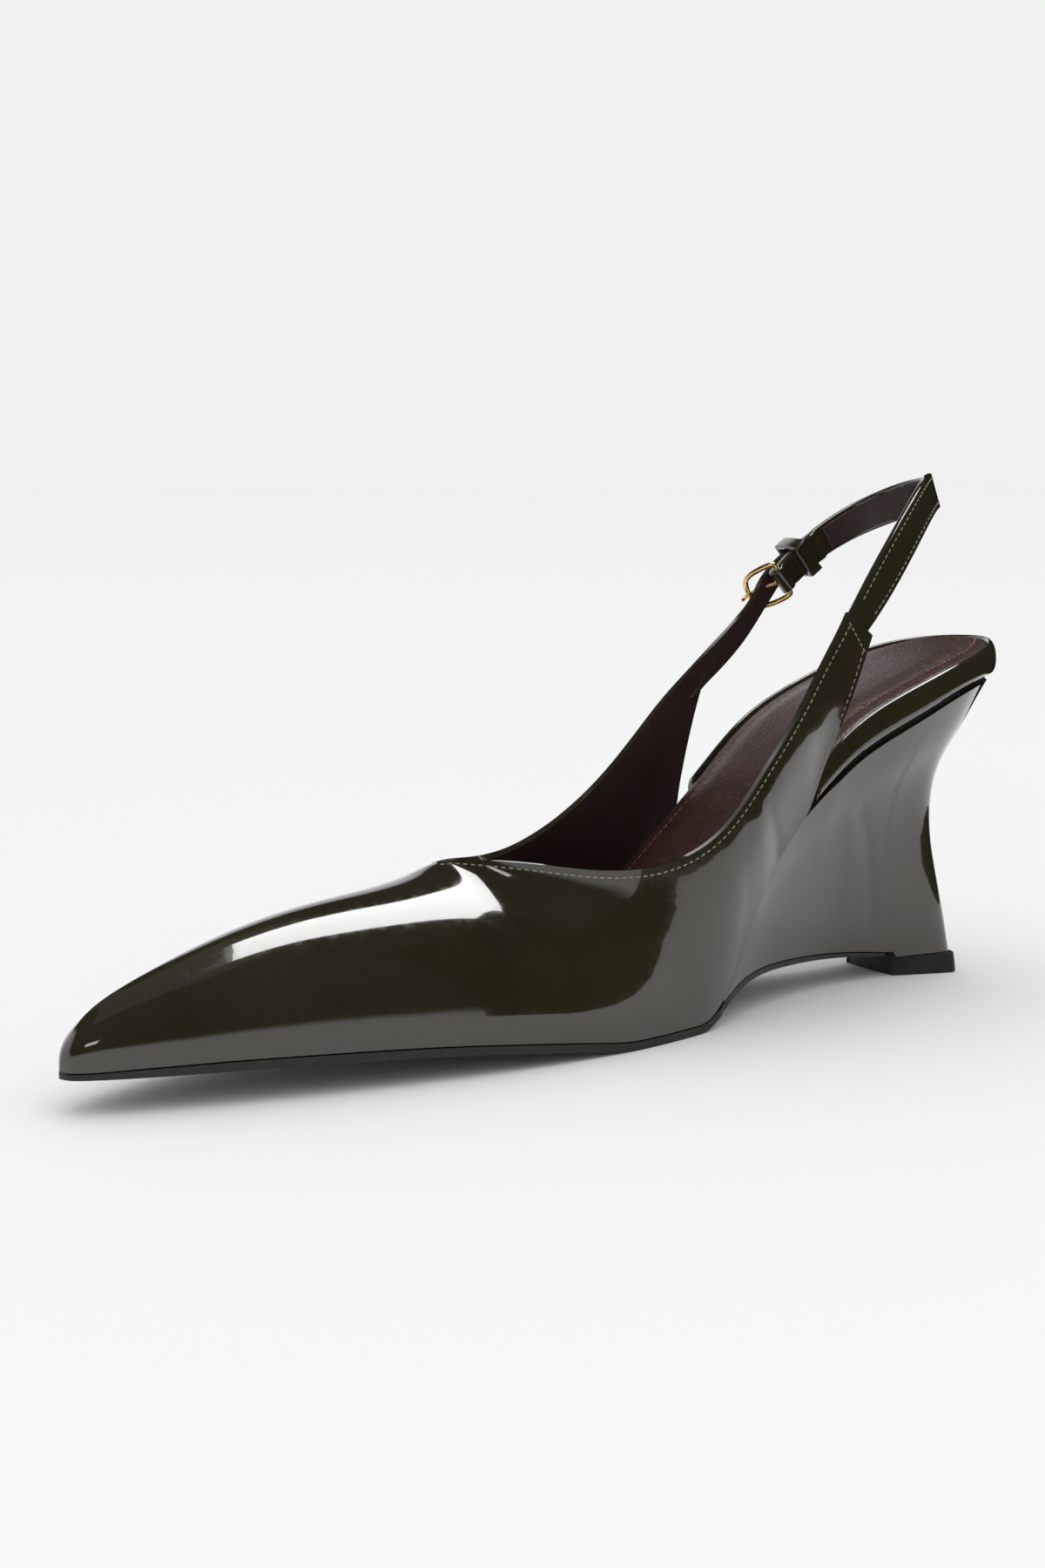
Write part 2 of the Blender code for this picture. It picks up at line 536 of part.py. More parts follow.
LATERAL = table(
    UPPER_COLUMNS,
    (1.0030, 0.048, 0.000, 0.9900, 0.044, 0.1800, 14, 40, 0.62, 0.60),
    (1.0000, 0.014, 0.000, 0.9865, 0.044, 0.1920, 14, 36, 0.62, 0.58),
    (0.9930, -0.014, 0.000, 0.9790, 0.043, 0.2120, 13, 30, 0.63, 0.56),
    (0.9800, -0.051, 0.000, 0.9650, 0.042, 0.2370, 11, 24, 0.62, 0.53),
    (0.9600, -0.093, 0.000, 0.9430, 0.040, 0.2640, 8, 18, 0.56, 0.47),
    (0.9250, -0.152, 0.000, 0.9080, 0.038, 0.3000, 5, 10, 0.50, 0.42),
    (0.8600, -0.259, 0.000, 0.8500, 0.038, 0.3520, 6, 8, 0.46, 0.40),
    (0.7900, -0.360, 0.000, 0.7860, 0.038, 0.3880, 6, 8, 0.43, 0.40),
    (0.7200, -0.449, 0.000, 0.7200, 0.036, 0.4040, 6, 10, 0.41, 0.42),
    (0.6720, -0.500, 0.000, 0.6770, 0.022, 0.4220, 6, 10, 0.40, 0.43),
    (0.6360, -0.529, 0.000, 0.6520, 0.006, 0.4470, 6, 12, 0.40, 0.43),
    (0.6020, -0.547, 0.000, 0.6260, -0.055, 0.4400, 6, 20, 0.39, 0.41),
    (0.5720, -0.552, 0.000, 0.5900, -0.125, 0.4250, 6, 30, 0.38, 0.38),
    (0.5420, -0.554, 0.000, 0.5500, -0.195, 0.4240, 7, 40, 0.36, 0.36),
    (0.5120, -0.543, 0.000, 0.5150, -0.252, 0.4380, 7, 50, 0.35, 0.34),
    (0.4800, -0.526, 0.000, 0.4750, -0.303, 0.4700, 8, 58, 0.34, 0.33),
    (0.4480, -0.501, 0.000, 0.4350, -0.343, 0.5220, 8, 66, 0.34, 0.33),
    (0.4200, -0.475, 0.000, 0.4000, -0.371, 0.5840, 8, 73, 0.33, 0.33),
    (0.3930, -0.444, 0.000, 0.3660, -0.392, 0.6620, 8, 79, 0.33, 0.33),
    (0.3680, -0.422, 0.000, 0.3380, -0.405, 0.7320, 8, 84, 0.33, 0.33),
    (0.3420, -0.404, 0.000, 0.3140, -0.412, 0.7850, 8, 87, 0.33, 0.33),
    (0.3220, -0.395, 0.000, 0.2940, -0.414, 0.8270, 8, 89, 0.33, 0.33),
    (0.3090, -0.391, 0.010, 0.2780, -0.413, 0.8640, 6, 90, 0.33, 0.33),
    (0.3140, -0.399, 0.134, 0.2640, -0.410, 0.8960, 5, 90, 0.33, 0.33),
    (0.3110, -0.403, 0.214, 0.2520, -0.408, 0.9230, 4, 90, 0.33, 0.33),
    (0.2920, -0.405, 0.256, 0.2410, -0.406, 0.9500, 3, 90, 0.33, 0.33),
    (0.2640, -0.406, 0.236, 0.2300, -0.406, 0.9760, 2, 90, 0.33, 0.33),
    (0.2340, -0.407, 0.250, 0.2220, -0.408, 0.9990, 1, 90, 0.33, 0.33),
    (0.2080, -0.414, 0.299, 0.2160, -0.415, 1.0200, 0, 90, 0.33, 0.33),
    (0.1960, -0.416, 0.324, 0.2080, -0.417, 1.0560, 0, 90, 0.33, 0.33),
    (0.1800, -0.415, 0.362, 0.1920, -0.416, 1.0990, 0, 90, 0.33, 0.33),
    (0.1600, -0.408, 0.389, 0.1720, -0.409, 1.1370, 0, 90, 0.33, 0.33),
    (0.1440, -0.398, 0.416, 0.1560, -0.399, 1.1640, 0, 90, 0.33, 0.33),
    (0.1370, -0.392, 0.437, 0.1460, -0.392, 1.1760, 0, 90, 0.33, 0.33),
)
RIBS = 2                # ribs per row
POINTS = 10             # points per rib


def upper_side(rows, sign):
    """Outer surface of one side as ribs of points."""
    t = np.linspace(0.0, 1.0, POINTS)[:, None]
    ribs = []
    for row in spline(np.stack(list(rows.values()), 1), RIBS):
        low_x, low_y, low_up, top_x, top_y, top_z, lean, turn, reach_low, reach_top = row
        x0, y0, x1, y1 = low_x * LENGTH, low_y * BALL_WIDTH, top_x * LENGTH, top_y * BALL_WIDTH
        z0 = float(feather_z(x0)) + low_up * QUARTER_TOP + 0.05
        vamp = float(np.clip((x1 / LENGTH - 0.50) / 0.10, 0, 1))
        z1 = top_z * ((1 - vamp) * QUARTER_TOP + vamp * INSTEP / 0.4523)
        low, top = np.array([x0, y0, z0]), np.array([x1, y1, z1])
        follow_x = float(np.clip((0.70 - low_x) / 0.20, 0.1, 1.0))
        lean, turn = math.radians(lean), math.radians(turn)
        rise = z1 - z0
        a = low + reach_low * np.array([(x1 - x0) * follow_x, sign * math.tan(lean) * rise, rise])
        b = top + reach_top * np.array([x0 - x1, (y0 - y1) * max(math.cos(turn), 0.0), -math.sin(turn) * rise])
        ribs.append((1 - t) ** 3 * low + 3 * (1 - t) ** 2 * t * a + 3 * (1 - t) * t ** 2 * b + t ** 3 * top)
    return ribs


med_ribs = upper_side(MEDIAL, 1.0)
lat_ribs = upper_side(LATERAL, -1.0)
lat_ribs[0] = med_ribs[0]
for k in range(10 * RIBS + 1):
    mid = 0.5 * (med_ribs[k][-1] + lat_ribs[k][-1])
    med_ribs[k][-1] = mid
    lat_ribs[k][-1] = mid
verts = np.vstack(med_ribs + lat_ribs)
faces = grid_faces(len(med_ribs), POINTS, flip=True)
faces += grid_faces(len(lat_ribs), POINTS, start=len(med_ribs) * POINTS)
upper = mesh_object("upper", verts, faces, PATENT)
wall = upper.modifiers.new("wall", 'SOLIDIFY')
wall.thickness = WALL * MM
wall.offset = -1.0
wall.use_even_offset = True
wall.use_quality_normals = True

# sling strap: its centreline from the lap inside the medial quarter to the buckle, its width, and how
# far its top leans inwards, in degrees; height is a share of the quarter's top, rise of what is above it
SLING = table(
    "along side height rise width lean",
    (0.2580, 0.304, 0.911, 0.000, 0.58, 0),
    (0.2440, 0.311, 0.960, 0.000, 0.74, 0),
    (0.2195, 0.301, 1.000, 0.109, 0.97, 0),
    (0.1835, 0.280, 1.000, 0.445, 1.00, 3),
    (0.1466, 0.232, 1.000, 0.735, 1.00, 8),
    (0.1128, 0.149, 1.000, 0.869, 0.96, 14),
    (0.0872, 0.054, 1.000, 0.854, 0.91, 18),
    (0.0735, -0.036, 1.000, 0.826, 0.91, 18),
    (0.0699, -0.134, 1.000, 0.806, 0.93, 18),
    (0.0812, -0.232, 1.000, 0.731, 0.95, 13),
    (0.1098, -0.301, 1.000, 0.620, 0.90, 6),
    (0.1462, -0.333, 1.000, 0.461, 0.82, 2),
    (0.1737, -0.351, 1.101, 0.000, 0.75, 0),
    (0.1929, -0.356, 1.054, 0.000, 0.70, 0),
)
FOLD = 15.0             # length of the strap end folded back round the buckle
FOLD_MORE = 1.2         # extra thickness there
BEAD = 2.1              # radius of the fold round the axle
height = SLING["height"] * QUARTER_TOP + SLING["rise"] * (STRAP_TOP - QUARTER_TOP)
path = spline(np.stack([SLING["along"] * LENGTH, SLING["side"] * BALL_WIDTH, height,
                        SLING["width"] * STRAP_WIDTH, SLING["lean"]], 1), 4)
middle, width, top_in = path[:, :3], path[:, 3], np.radians(path[:, 4])[:, None]
run = np.gradient(middle, axis=0)
run /= np.linalg.norm(run, axis=1)[:, None]
out = np.stack([-run[:, 1], run[:, 0], 0 * run[:, 0]], 1)
out /= np.linalg.norm(out, axis=1)[:, None]
if out[len(out) // 2, 0] > 0:
    out = -out
across = np.cross(run, out)
across *= np.sign(across[:, 2])[:, None]
out, across = out * np.cos(top_in) + across * np.sin(top_in), across * np.cos(top_in) - out * np.sin(top_in)
past = np.linalg.norm(middle - middle[-1], axis=1)
AXLE = middle[-1] - out[-1] * FOLD_MORE / 2
rings = []


def strap_ring(c, o, a, half, outer, inner):
    return np.array([c + a * half + o * outer, c + o * outer, c - a * half + o * outer,
                     c - a * half - o * inner, c - o * inner, c + a * half - o * inner])


for c, o, a, w, d in zip(middle, out, across, width, past):
    if d < BEAD:
        break
    inner = STRAP / 2 + FOLD_MORE * float(np.clip((FOLD - d) / 1.2, 0, 1))
    rings.append(strap_ring(c, o, a, w / 2, STRAP / 2, inner))
T, N, B = run[-1], out[-1], across[-1]
for d in (-1.75, -1.2, -0.6, 0.0, 0.6, 1.2, 1.75, 2.03):
    half = math.sqrt(BEAD ** 2 - d ** 2)
    rings.append(strap_ring(AXLE + T * d, N, B, width[-1] / 2, half, half))
sling = tube("sling_strap", rings, PATENT)

# buckle on the lateral side: run points back and up along the strap, rise across it, out sideways
SKEW = math.radians(6.0)     # the frame hangs a little steeper than the strap
RUN = -T * math.cos(SKEW) - B * math.sin(SKEW)
RISE = B * math.cos(SKEW) - T * math.sin(SKEW)
OUT = N
FRAME_LENGTH = 8.0      # axle to front bar
FRAME_HALF = 5.3        # half the height of the frame
TAB_OUT = 4.3           # outer face of the tab above the axle
FRONT_OUT = TAB_OUT + GAP + WIRE


def local(along, rise, outward):
    return AXLE + RUN * along + RISE * rise + OUT * outward


def wire(name, points, radius, mat, closed=False, count=8, cutter=False):
    """Round wire along a path."""
    pts = np.asarray(points, float)
    n = len(pts)
    turn = np.linspace(0, 2 * math.pi, count, endpoint=False)[:, None]
    rings_ = []
    ref = np.array([0.3, 0.9, 0.2])
    for i in range(n):
        if closed:
            tangent = pts[(i + 1) % n] - pts[i - 1]
        else:
            tangent = pts[min(i + 1, n - 1)] - pts[max(i - 1, 0)]
        tangent /= np.linalg.norm(tangent)
        ref = ref - tangent * np.dot(ref, tangent)
        ref /= np.linalg.norm(ref)
        rings_.append(pts[i] + radius * (np.cos(turn) * ref + np.sin(turn) * np.cross(tangent, ref)))
    if not closed:
        return tube(name, rings_, mat, cutter=cutter)
    first_ref = (rings_[0][0] - pts[0]) / radius
    shift = int(np.argmax([(rings_[0][k] - pts[0]) @ ref for k in range(count)]))
    verts_ = np.vstack(rings_ + [np.roll(rings_[0], -shift, 0)])
    return mesh_object(name, verts_, grid_faces(n + 1, count, wrap=True), mat)


# frame: straight axle, bowed sides and a rounded front, as one closed ring
QUARTER = ((0.0, 0.0), (0.0, 2.5), (0.0, 4.3), (-0.5, 4.9), (-2.0, 5.2), (-4.0, 5.2),
           (-6.0, 4.9), (-7.6, 4.2), (-8.6, 3.0), (-9.0, 1.5))
loop = list(QUARTER) + [(-9.0, 0.0)] + [(r, -u) for r, u in QUARTER[:0:-1]]
points = []
for along, rise in loop:
    share = min(max(-along, 0.0) / 7.0, 1.0)
    points.append(local(along / 9.0 * FRAME_LENGTH, rise / 5.2 * FRAME_HALF, FRONT_OUT * share ** 1.1))
wire("buckle_frame", points, WIRE, GOLD, closed=True)

# prong: from the axle, through the tab and over the front bar
over = FRONT_OUT + WIRE + GAP + PRONG
PRONG_PATH = ((-1.45, 0.5), (-2.6, 1.9), (-3.9, 3.6), (-5.4, 5.2), (-7.2, over - 0.3), (-9.0, over), (-10.4, over - 0.3))
wire("buckle_prong", [local(a, 0.0, o) for a, o in PRONG_PATH], PRONG, GOLD)
hole = wire("prong_hole", [local(a, 0.0, o) for a, o in ((-0.6, -0.2),) + PRONG_PATH[:4]], PRONG + 0.38, None,
            count=10, cutter=True)
channel = wire("axle_channel", [local(0.0, -9.0, 0.0), local(0.0, 0.0, 0.0), local(0.0, 9.0, 0.0)], WIRE + GAP, None,
               count=12, cutter=True)
combine(upper, hole, 'DIFFERENCE')
combine(sling, channel, 'DIFFERENCE')
combine(sling, hole, 'DIFFERENCE')

# keeper: a short sleeve round the strap and the tab behind the buckle
KEEPER_BACK = 8.2       # from the axle to the middle of the keeper
KEEPER_HALF = 3.95      # half the height of the strap inside it
KEEPER_OUT = TAB_OUT + 0.3
k = int(np.argmin(np.abs(past - KEEPER_BACK)))
kc, kt, kn, ka = middle[k], run[k], out[k], across[k]
rings = []
for d in (-0.5, -0.42, 0.42, 0.5):
    less = 0.25 if abs(d) == 0.5 else 0.0
    ring = []
    for up, side in ((1, 1), (0.72, 1.16), (-0.72, 1.16), (-1, 1), (-1, -1), (-0.72, -1.1), (0.72, -1.1), (1, -1)):
        half_up = KEEPER_HALF + GAP + KEEPER - less
        deep = (KEEPER_OUT if side > 0 else STRAP / 2 + FOLD_MORE) + GAP + KEEPER - less
        ring.append(kc + kt * d * KEEPER_WIDTH + ka * up * half_up + kn * side * deep)
    rings.append(np.array(ring))
keeper = tube("strap_keeper", rings, PATENT)
rings = []
for d in (-1.0, 1.0):
    ring = []
    for up, side in ((1, 1), (-1, 1), (-1, -1), (1, -1)):
        deep = (KEEPER_OUT if side > 0 else STRAP / 2 + FOLD_MORE) + GAP
        ring.append(kc + kt * d * KEEPER_WIDTH + ka * up * (KEEPER_HALF + GAP) + kn * side * deep)
    rings.append(np.array(ring))
inside = tube("keeper_inside", rings, None, cutter=True)
combine(keeper, inside, 'DIFFERENCE')
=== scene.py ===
"""Looks of the slingback wedge pump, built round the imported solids.

Frame: +X towards the toe, +Y towards the medial side, +Z up, floor at z = 0.
Sizes are millimetres along the shoe from the back of the heel, turned into metres when a mesh is made.
"""
import bpy
import bmesh
import math
import numpy as np
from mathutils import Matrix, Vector


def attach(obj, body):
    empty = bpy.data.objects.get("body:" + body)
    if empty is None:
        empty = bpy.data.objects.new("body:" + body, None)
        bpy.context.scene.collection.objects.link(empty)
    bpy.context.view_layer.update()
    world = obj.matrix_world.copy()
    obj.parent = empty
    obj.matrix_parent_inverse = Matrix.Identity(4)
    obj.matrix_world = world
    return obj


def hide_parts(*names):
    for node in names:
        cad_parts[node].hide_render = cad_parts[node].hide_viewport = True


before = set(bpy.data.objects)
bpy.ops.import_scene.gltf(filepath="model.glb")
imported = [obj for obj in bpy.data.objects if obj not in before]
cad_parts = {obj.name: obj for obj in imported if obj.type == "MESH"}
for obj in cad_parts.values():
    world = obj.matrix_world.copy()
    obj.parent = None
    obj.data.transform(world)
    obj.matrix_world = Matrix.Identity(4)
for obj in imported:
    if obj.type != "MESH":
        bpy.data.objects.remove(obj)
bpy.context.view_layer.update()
for thing in bpy.context.selected_objects:
    thing.select_set(False)

MM = 0.001

# overall sizes
LENGTH = 266.0          # back of the heel to the tip of the toe
BALL_WIDTH = 67.2       # across the feather line at the ball
HEEL_RISE = 72.0        # feather line at the heel above the one at the ball
INSTEP = 44.6           # top of the throat above the floor
TOE_SPRING = 7.8        # underside of the tip above the floor
SOLE = 2.0              # outsole thickness
INSOLE = 2.6            # insole thickness at its edge
PAD = 1.5               # extra height of the padded seat
WALL = 1.6              # thickness of the lined upper
RAND = 2.5              # thickness of the covered band round the heel seat
GROOVE = 2.3            # height of the open groove between that band and the wedge
GROOVE_DEPTH = 2.7      # how far the top of the wedge stands in at the back of the heel
SEAT_TILT = 1.0         # the lateral edge of the seat lies this much lower
LIFT = 5.2              # heel lift height
LIFT_FRONT = 0.1390     # front of the lift as a share of the length
ARCH = 4.0              # rise of the underside between lift and ball
GAP = 0.3               # clearance between neighbouring pieces
QUARTER_TOP = 98.6      # top of the medial quarter above the floor
STRAP_TOP = 131.9       # top of the sling strap above the floor
STRAP = 1.6             # sling strap thickness
STRAP_WIDTH = 10.0      # sling strap width
WIRE = 0.75             # radius of the buckle wire
PRONG = 0.5             # radius of the buckle prong
KEEPER = 0.7            # thickness of the keeper loop
KEEPER_WIDTH = 4.0      # its length along the strap

# place of the heel axis and heel back in the final frame
ORIGIN_X = -133.88
ORIGIN_Y = 3.54


def table(names, *rows):
    """Rows of numbers with named columns."""
    keys = names.split()
    grid = np.array(rows, float)
    return {key: grid[:, i] for i, key in enumerate(keys)}


def spline(points, steps):
    """Uniform cubic B-spline through the end points, smoothing the rows between."""
    p = np.asarray(points, float)
    if p.ndim == 1:
        p = p[:, None]
    p = np.vstack([2 * p[0] - p[1], p, 2 * p[-1] - p[-2]])
    out = []
    for i in range(len(p) - 3):
        for j in range(steps):
            t = j / steps
            w = ((1 - t) ** 3, 3 * t ** 3 - 6 * t ** 2 + 4, -3 * t ** 3 + 3 * t ** 2 + 3 * t + 1, t ** 3)
            out.append(sum(w[k] * p[i + k] for k in range(4)) / 6)
    out.append((p[-3] + 4 * p[-2] + p[-1]) / 6)
    return np.array(out)


def follow(x, xs, ys):
    """Smooth value at x of a curve given by rows."""
    dense = spline(np.stack([xs, ys], 1), 12)
    return np.interp(x, dense[:, 0], dense[:, 1])


# underside of the outsole: shares of the lift, the arch and the toe spring
UNDERSIDE = table(
    "along lift arch spring",
    (0.0000, 1.00, 0.00, 0.00),
    (0.1200, 1.00, 0.00, 0.00),
    (0.1550, 1.00, 0.10, 0.00),
    (0.1900, 1.00, 0.40, 0.00),
    (0.2440, 1.00, 0.72, 0.00),
    (0.2970, 1.00, 0.93, 0.00),
    (0.3310, 1.00, 0.95, 0.00),
    (0.3530, 0.97, 0.86, 0.00),
    (0.3720, 0.86, 0.76, 0.00),
    (0.3870, 0.68, 0.60, 0.00),
    (0.4020, 0.42, 0.36, 0.00),
    (0.4140, 0.19, 0.16, 0.00),
    (0.4250, 0.03, 0.02, 0.00),
    (0.4360, 0.00, 0.00, 0.00),
    (0.4500, 0.00, 0.00, 0.00),
    (0.5000, 0.00, 0.00, 0.00),
    (0.5180, 0.00, 0.00, 0.00),
    (0.5450, 0.00, 0.00, 0.12),
    (0.5700, 0.00, 0.00, 0.25),
    (0.6000, 0.00, 0.00, 0.38),
    (0.6320, 0.00, 0.00, 0.50),
    (0.6770, 0.00, 0.00, 0.66),
    (0.7200, 0.00, 0.00, 0.77),
    (0.7900, 0.00, 0.00, 0.89),
    (0.8650, 0.00, 0.00, 0.96),
    (0.9400, 0.00, 0.00, 0.99),
    (1.0100, 0.00, 0.00, 1.00),
)


def under_z(x):
    """Height of the outsole's underside."""
    u = UNDERSIDE
    rows = u["lift"] * (LIFT + 0.4) + u["arch"] * ARCH + u["spring"] * TOE_SPRING
    z = follow(x, u["along"] * LENGTH, rows)
    return np.where(z < 0.02, 0.0, z)


# outsole thickness as a share of SOLE: thin behind and along the arch, skived at the toe
THICKNESS = table(
    "along share",
    (0.130, 0.35), (0.180, 0.50), (0.260, 0.65), (0.350, 0.75), (0.395, 0.90), (0.420, 1.00), (0.880, 1.00),
    (0.950, 0.85), (0.985, 0.65), (1.000, 0.60),
)


def sole_top(x):
    """Top of the outsole."""
    return under_z(x) + SOLE * np.interp(x, THICKNESS["along"] * LENGTH, THICKNESS["share"])


def foot_z(x):
    """Underside of the wedge: on the lift behind, on the outsole in front of it."""
    return np.where(x < LIFT_FRONT * LENGTH, LIFT + GAP, sole_top(x) + GAP)


def deck_z(x):
    """Base of the feather line and the insole: the outsole's top and a clearance at the forefoot."""
    return np.maximum(sole_top(x), under_z(x) + SOLE * (x < 0.42 * LENGTH)) + GAP


# feather line seen from above, and its rise above the deck
OUTLINE = table(
    "along medial lateral rise",
    (0.0034, -0.037, -0.037, 1.000),
    (0.0060, 0.054, -0.128, 1.000),
    (0.0135, 0.119, -0.193, 1.000),
    (0.0263, 0.183, -0.257, 1.000),
    (0.0444, 0.241, -0.315, 1.000),
    (0.0654, 0.281, -0.356, 0.995),
    (0.0850, 0.301, -0.375, 0.980),
    (0.1128, 0.311, -0.385, 0.947),
    (0.1504, 0.310, -0.385, 0.885),
    (0.1880, 0.307, -0.384, 0.815),
    (0.2256, 0.305, -0.382, 0.743),
    (0.2632, 0.305, -0.381, 0.638),
    (0.2932, 0.305, -0.384, 0.524),
    (0.3195, 0.315, -0.394, 0.430),
    (0.3383, 0.321, -0.402, 0.352),
    (0.3534, 0.327, -0.411, 0.272),
    (0.3759, 0.339, -0.429, 0.135),
    (0.3891, 0.348, -0.440, 0.062),
    (0.4023, 0.360, -0.455, 0.009),
    (0.4192, 0.376, -0.473, 0.000),
    (0.4398, 0.394, -0.494, 0.000),
    (0.4699, 0.417, -0.519, 0.000),
    (0.5049, 0.435, -0.540, 0.000),
    (0.5451, 0.445, -0.554, 0.000),
    (0.5902, 0.443, -0.551, 0.000),
    (0.6316, 0.432, -0.531, 0.000),
    (0.6767, 0.412, -0.496, 0.000),
    (0.7199, 0.388, -0.449, 0.000),
    (0.7639, 0.359, -0.394, 0.000),
    (0.8083, 0.323, -0.335, 0.000),
    (0.8496, 0.286, -0.274, 0.000),
    (0.8898, 0.246, -0.211, 0.000),
    (0.9248, 0.207, -0.152, 0.000),
    (0.9549, 0.170, -0.103, 0.000),
    (0.9778, 0.134, -0.056, 0.000),
    (0.9940, 0.103, -0.012, 0.000),
    (1.0010, 0.077, 0.016, 0.000),
    (1.0030, 0.048, 0.048, 0.000),
)

# the wedge under the first rows of the outline: how far its top stands in (share of GROOVE_DEPTH),
# its waist under the seat and its foot
WEDGE = table(
    "ledge waist_along waist_medial waist_lateral foot_along foot_medial foot_lateral",
    (1.00, 0.0850, -0.033, -0.033, 0.0662, -0.030, -0.030),
    (1.00, 0.0853, 0.021, -0.086, 0.0664, 0.036, -0.095),
    (0.96, 0.0865, 0.062, -0.128, 0.0673, 0.089, -0.149),
    (0.89, 0.0898, 0.095, -0.161, 0.0695, 0.131, -0.190),
    (0.81, 0.0959, 0.124, -0.189, 0.0748, 0.161, -0.220),
    (0.70, 0.1075, 0.146, -0.211, 0.0842, 0.168, -0.228),
    (0.59, 0.1226, 0.158, -0.223, 0.0977, 0.158, -0.217),
    (0.52, 0.1429, 0.167, -0.232, 0.1203, 0.140, -0.199),
    (0.44, 0.1711, 0.179, -0.244, 0.1523, 0.124, -0.183),
    (0.37, 0.2030, 0.193, -0.262, 0.1880, 0.119, -0.179),
    (0.33, 0.2350, 0.208, -0.280, 0.2256, 0.129, -0.193),
    (0.30, 0.2677, 0.226, -0.301, 0.2632, 0.159, -0.226),
    (0.19, 0.2955, 0.246, -0.321, 0.2932, 0.192, -0.268),
    (0.15, 0.3214, 0.268, -0.345, 0.3214, 0.226, -0.305),
    (0.15, 0.3398, 0.286, -0.363, 0.3402, 0.253, -0.335),
    (0.15, 0.3549, 0.304, -0.381, 0.3553, 0.278, -0.362),
    (0.15, 0.3771, 0.329, -0.414, 0.3771, 0.315, -0.405),
    (0.15, 0.3895, 0.342, -0.432, 0.3895, 0.336, -0.429),
    (0.15, 0.4023, 0.354, -0.449, 0.4023, 0.354, -0.449),
    (0.15, 0.4192, 0.370, -0.467, 0.4192, 0.370, -0.467),
)

STEPS = 7
DENSE = spline(np.stack([OUTLINE["along"] * LENGTH, OUTLINE["medial"] * BALL_WIDTH,
                         OUTLINE["lateral"] * BALL_WIDTH, OUTLINE["rise"]], 1), STEPS)
UNITS = np.array([GROOVE_DEPTH, LENGTH, BALL_WIDTH, BALL_WIDTH, LENGTH, BALL_WIDTH, BALL_WIDTH])
WAIST = spline(np.stack(list(WEDGE.values()), 1) * UNITS, STEPS)


def feather_z(x):
    """Height of the feather line, where the upper or the band meets what is below it."""
    return deck_z(x) + np.interp(x, DENSE[:, 0], DENSE[:, 3]) * HEEL_RISE


def inset(distance):
    """Plan outline moved inwards: medial points and lateral points, back to tip."""
    med = DENSE[:, [0, 1]]
    lat = DENSE[:, [0, 2]]
    loop = np.vstack([med, lat[::-1][1:-1]])
    step = np.roll(loop, -1, 0) - np.roll(loop, 1, 0)
    step /= np.linalg.norm(step, axis=1)[:, None]
    inward = np.stack([step[:, 1], -step[:, 0]], 1)
    n = len(med)
    d = np.broadcast_to(np.asarray(distance, float), (n,))
    both = np.concatenate([d, d[::-1][1:-1]])
    moved = loop + inward * both[:, None]
    medial = moved[:n]
    lateral = np.vstack([moved[0], moved[n:][::-1], moved[n - 1]])
    return medial, lateral, inward[:n], np.vstack([inward[0], inward[n:][::-1], inward[n - 1]])


# underside of the insole above the deck, as shares of the heel rise
SEAT = table(
    "along rise",
    (0.000, 1.076),
    (0.038, 1.063),
    (0.075, 1.032),
    (0.113, 0.996),
    (0.150, 0.944),
    (0.188, 0.876),
    (0.222, 0.808),
    (0.252, 0.728),
    (0.282, 0.617),
    (0.316, 0.482),
    (0.353, 0.345),
    (0.376, 0.276),
    (0.395, 0.232),
    (0.414, 0.196),
    (0.432, 0.160),
    (0.451, 0.118),
    (0.470, 0.077),
    (0.489, 0.042),
    (0.508, 0.016),
    (0.527, 0.000),
    (0.600, 0.000),
    (1.010, 0.000),
)


def seat_z(x):
    """Underside of the insole."""
    return deck_z(x) + np.maximum(follow(x, SEAT["along"] * LENGTH, SEAT["rise"]), 0.0) * HEEL_RISE


def tilt(x, y):
    """Drop of the seat towards its lateral edge; none under the forefoot."""
    return (SEAT_TILT * np.clip((0.045 * BALL_WIDTH - y) / (0.39 * BALL_WIDTH), 0, 1)
            * np.clip((0.47 * LENGTH - x) / (0.15 * LENGTH), 0, 1))


def grid_faces(rows, cols, start=0, flip=False, wrap=False):
    """Quads of a grid of points; wrap joins the last column to the first."""
    faces = []
    for i in range(rows - 1):
        for j in range(cols if wrap else cols - 1):
            k = (j + 1) % cols
            a, b = start + i * cols + j, start + i * cols + k
            c, d = start + (i + 1) * cols + k, start + (i + 1) * cols + j
            faces.append((a, d, c, b) if flip else (a, b, c, d))
    return faces


# Materials
def shader_of(name, colour, rough, metallic=0.0, coat=0.0, coat_rough=0.03, spec=0.5):
    """Material with its plain values set, its node tree and its shader."""
    mat = bpy.data.materials.new(name)
    mat.use_nodes = True
    s = mat.node_tree.nodes["Principled BSDF"]
    s.inputs["Base Color"].default_value = (*colour, 1.0)
    s.inputs["Roughness"].default_value = rough
    s.inputs["Metallic"].default_value = metallic
    s.inputs["Coat Weight"].default_value = coat
    s.inputs["Coat Roughness"].default_value = coat_rough
    s.inputs["Specular IOR Level"].default_value = spec
    mat.diffuse_color = (*colour, 1.0)
    return mat, mat.node_tree, s


def pattern_of(tree, kind, scale, stretch=(1, 1, 1)):
    """Texture node of a kind in the object's own metres."""
    coord = tree.nodes.new("ShaderNodeTexCoord")
    mapping = tree.nodes.new("ShaderNodeMapping")
    mapping.inputs["Scale"].default_value = stretch
    pattern = tree.nodes.new(kind)
    pattern.inputs["Scale"].default_value = scale
    tree.links.new(coord.outputs["Object"], mapping.inputs["Vector"])
    tree.links.new(mapping.outputs["Vector"], pattern.inputs["Vector"])
    return pattern


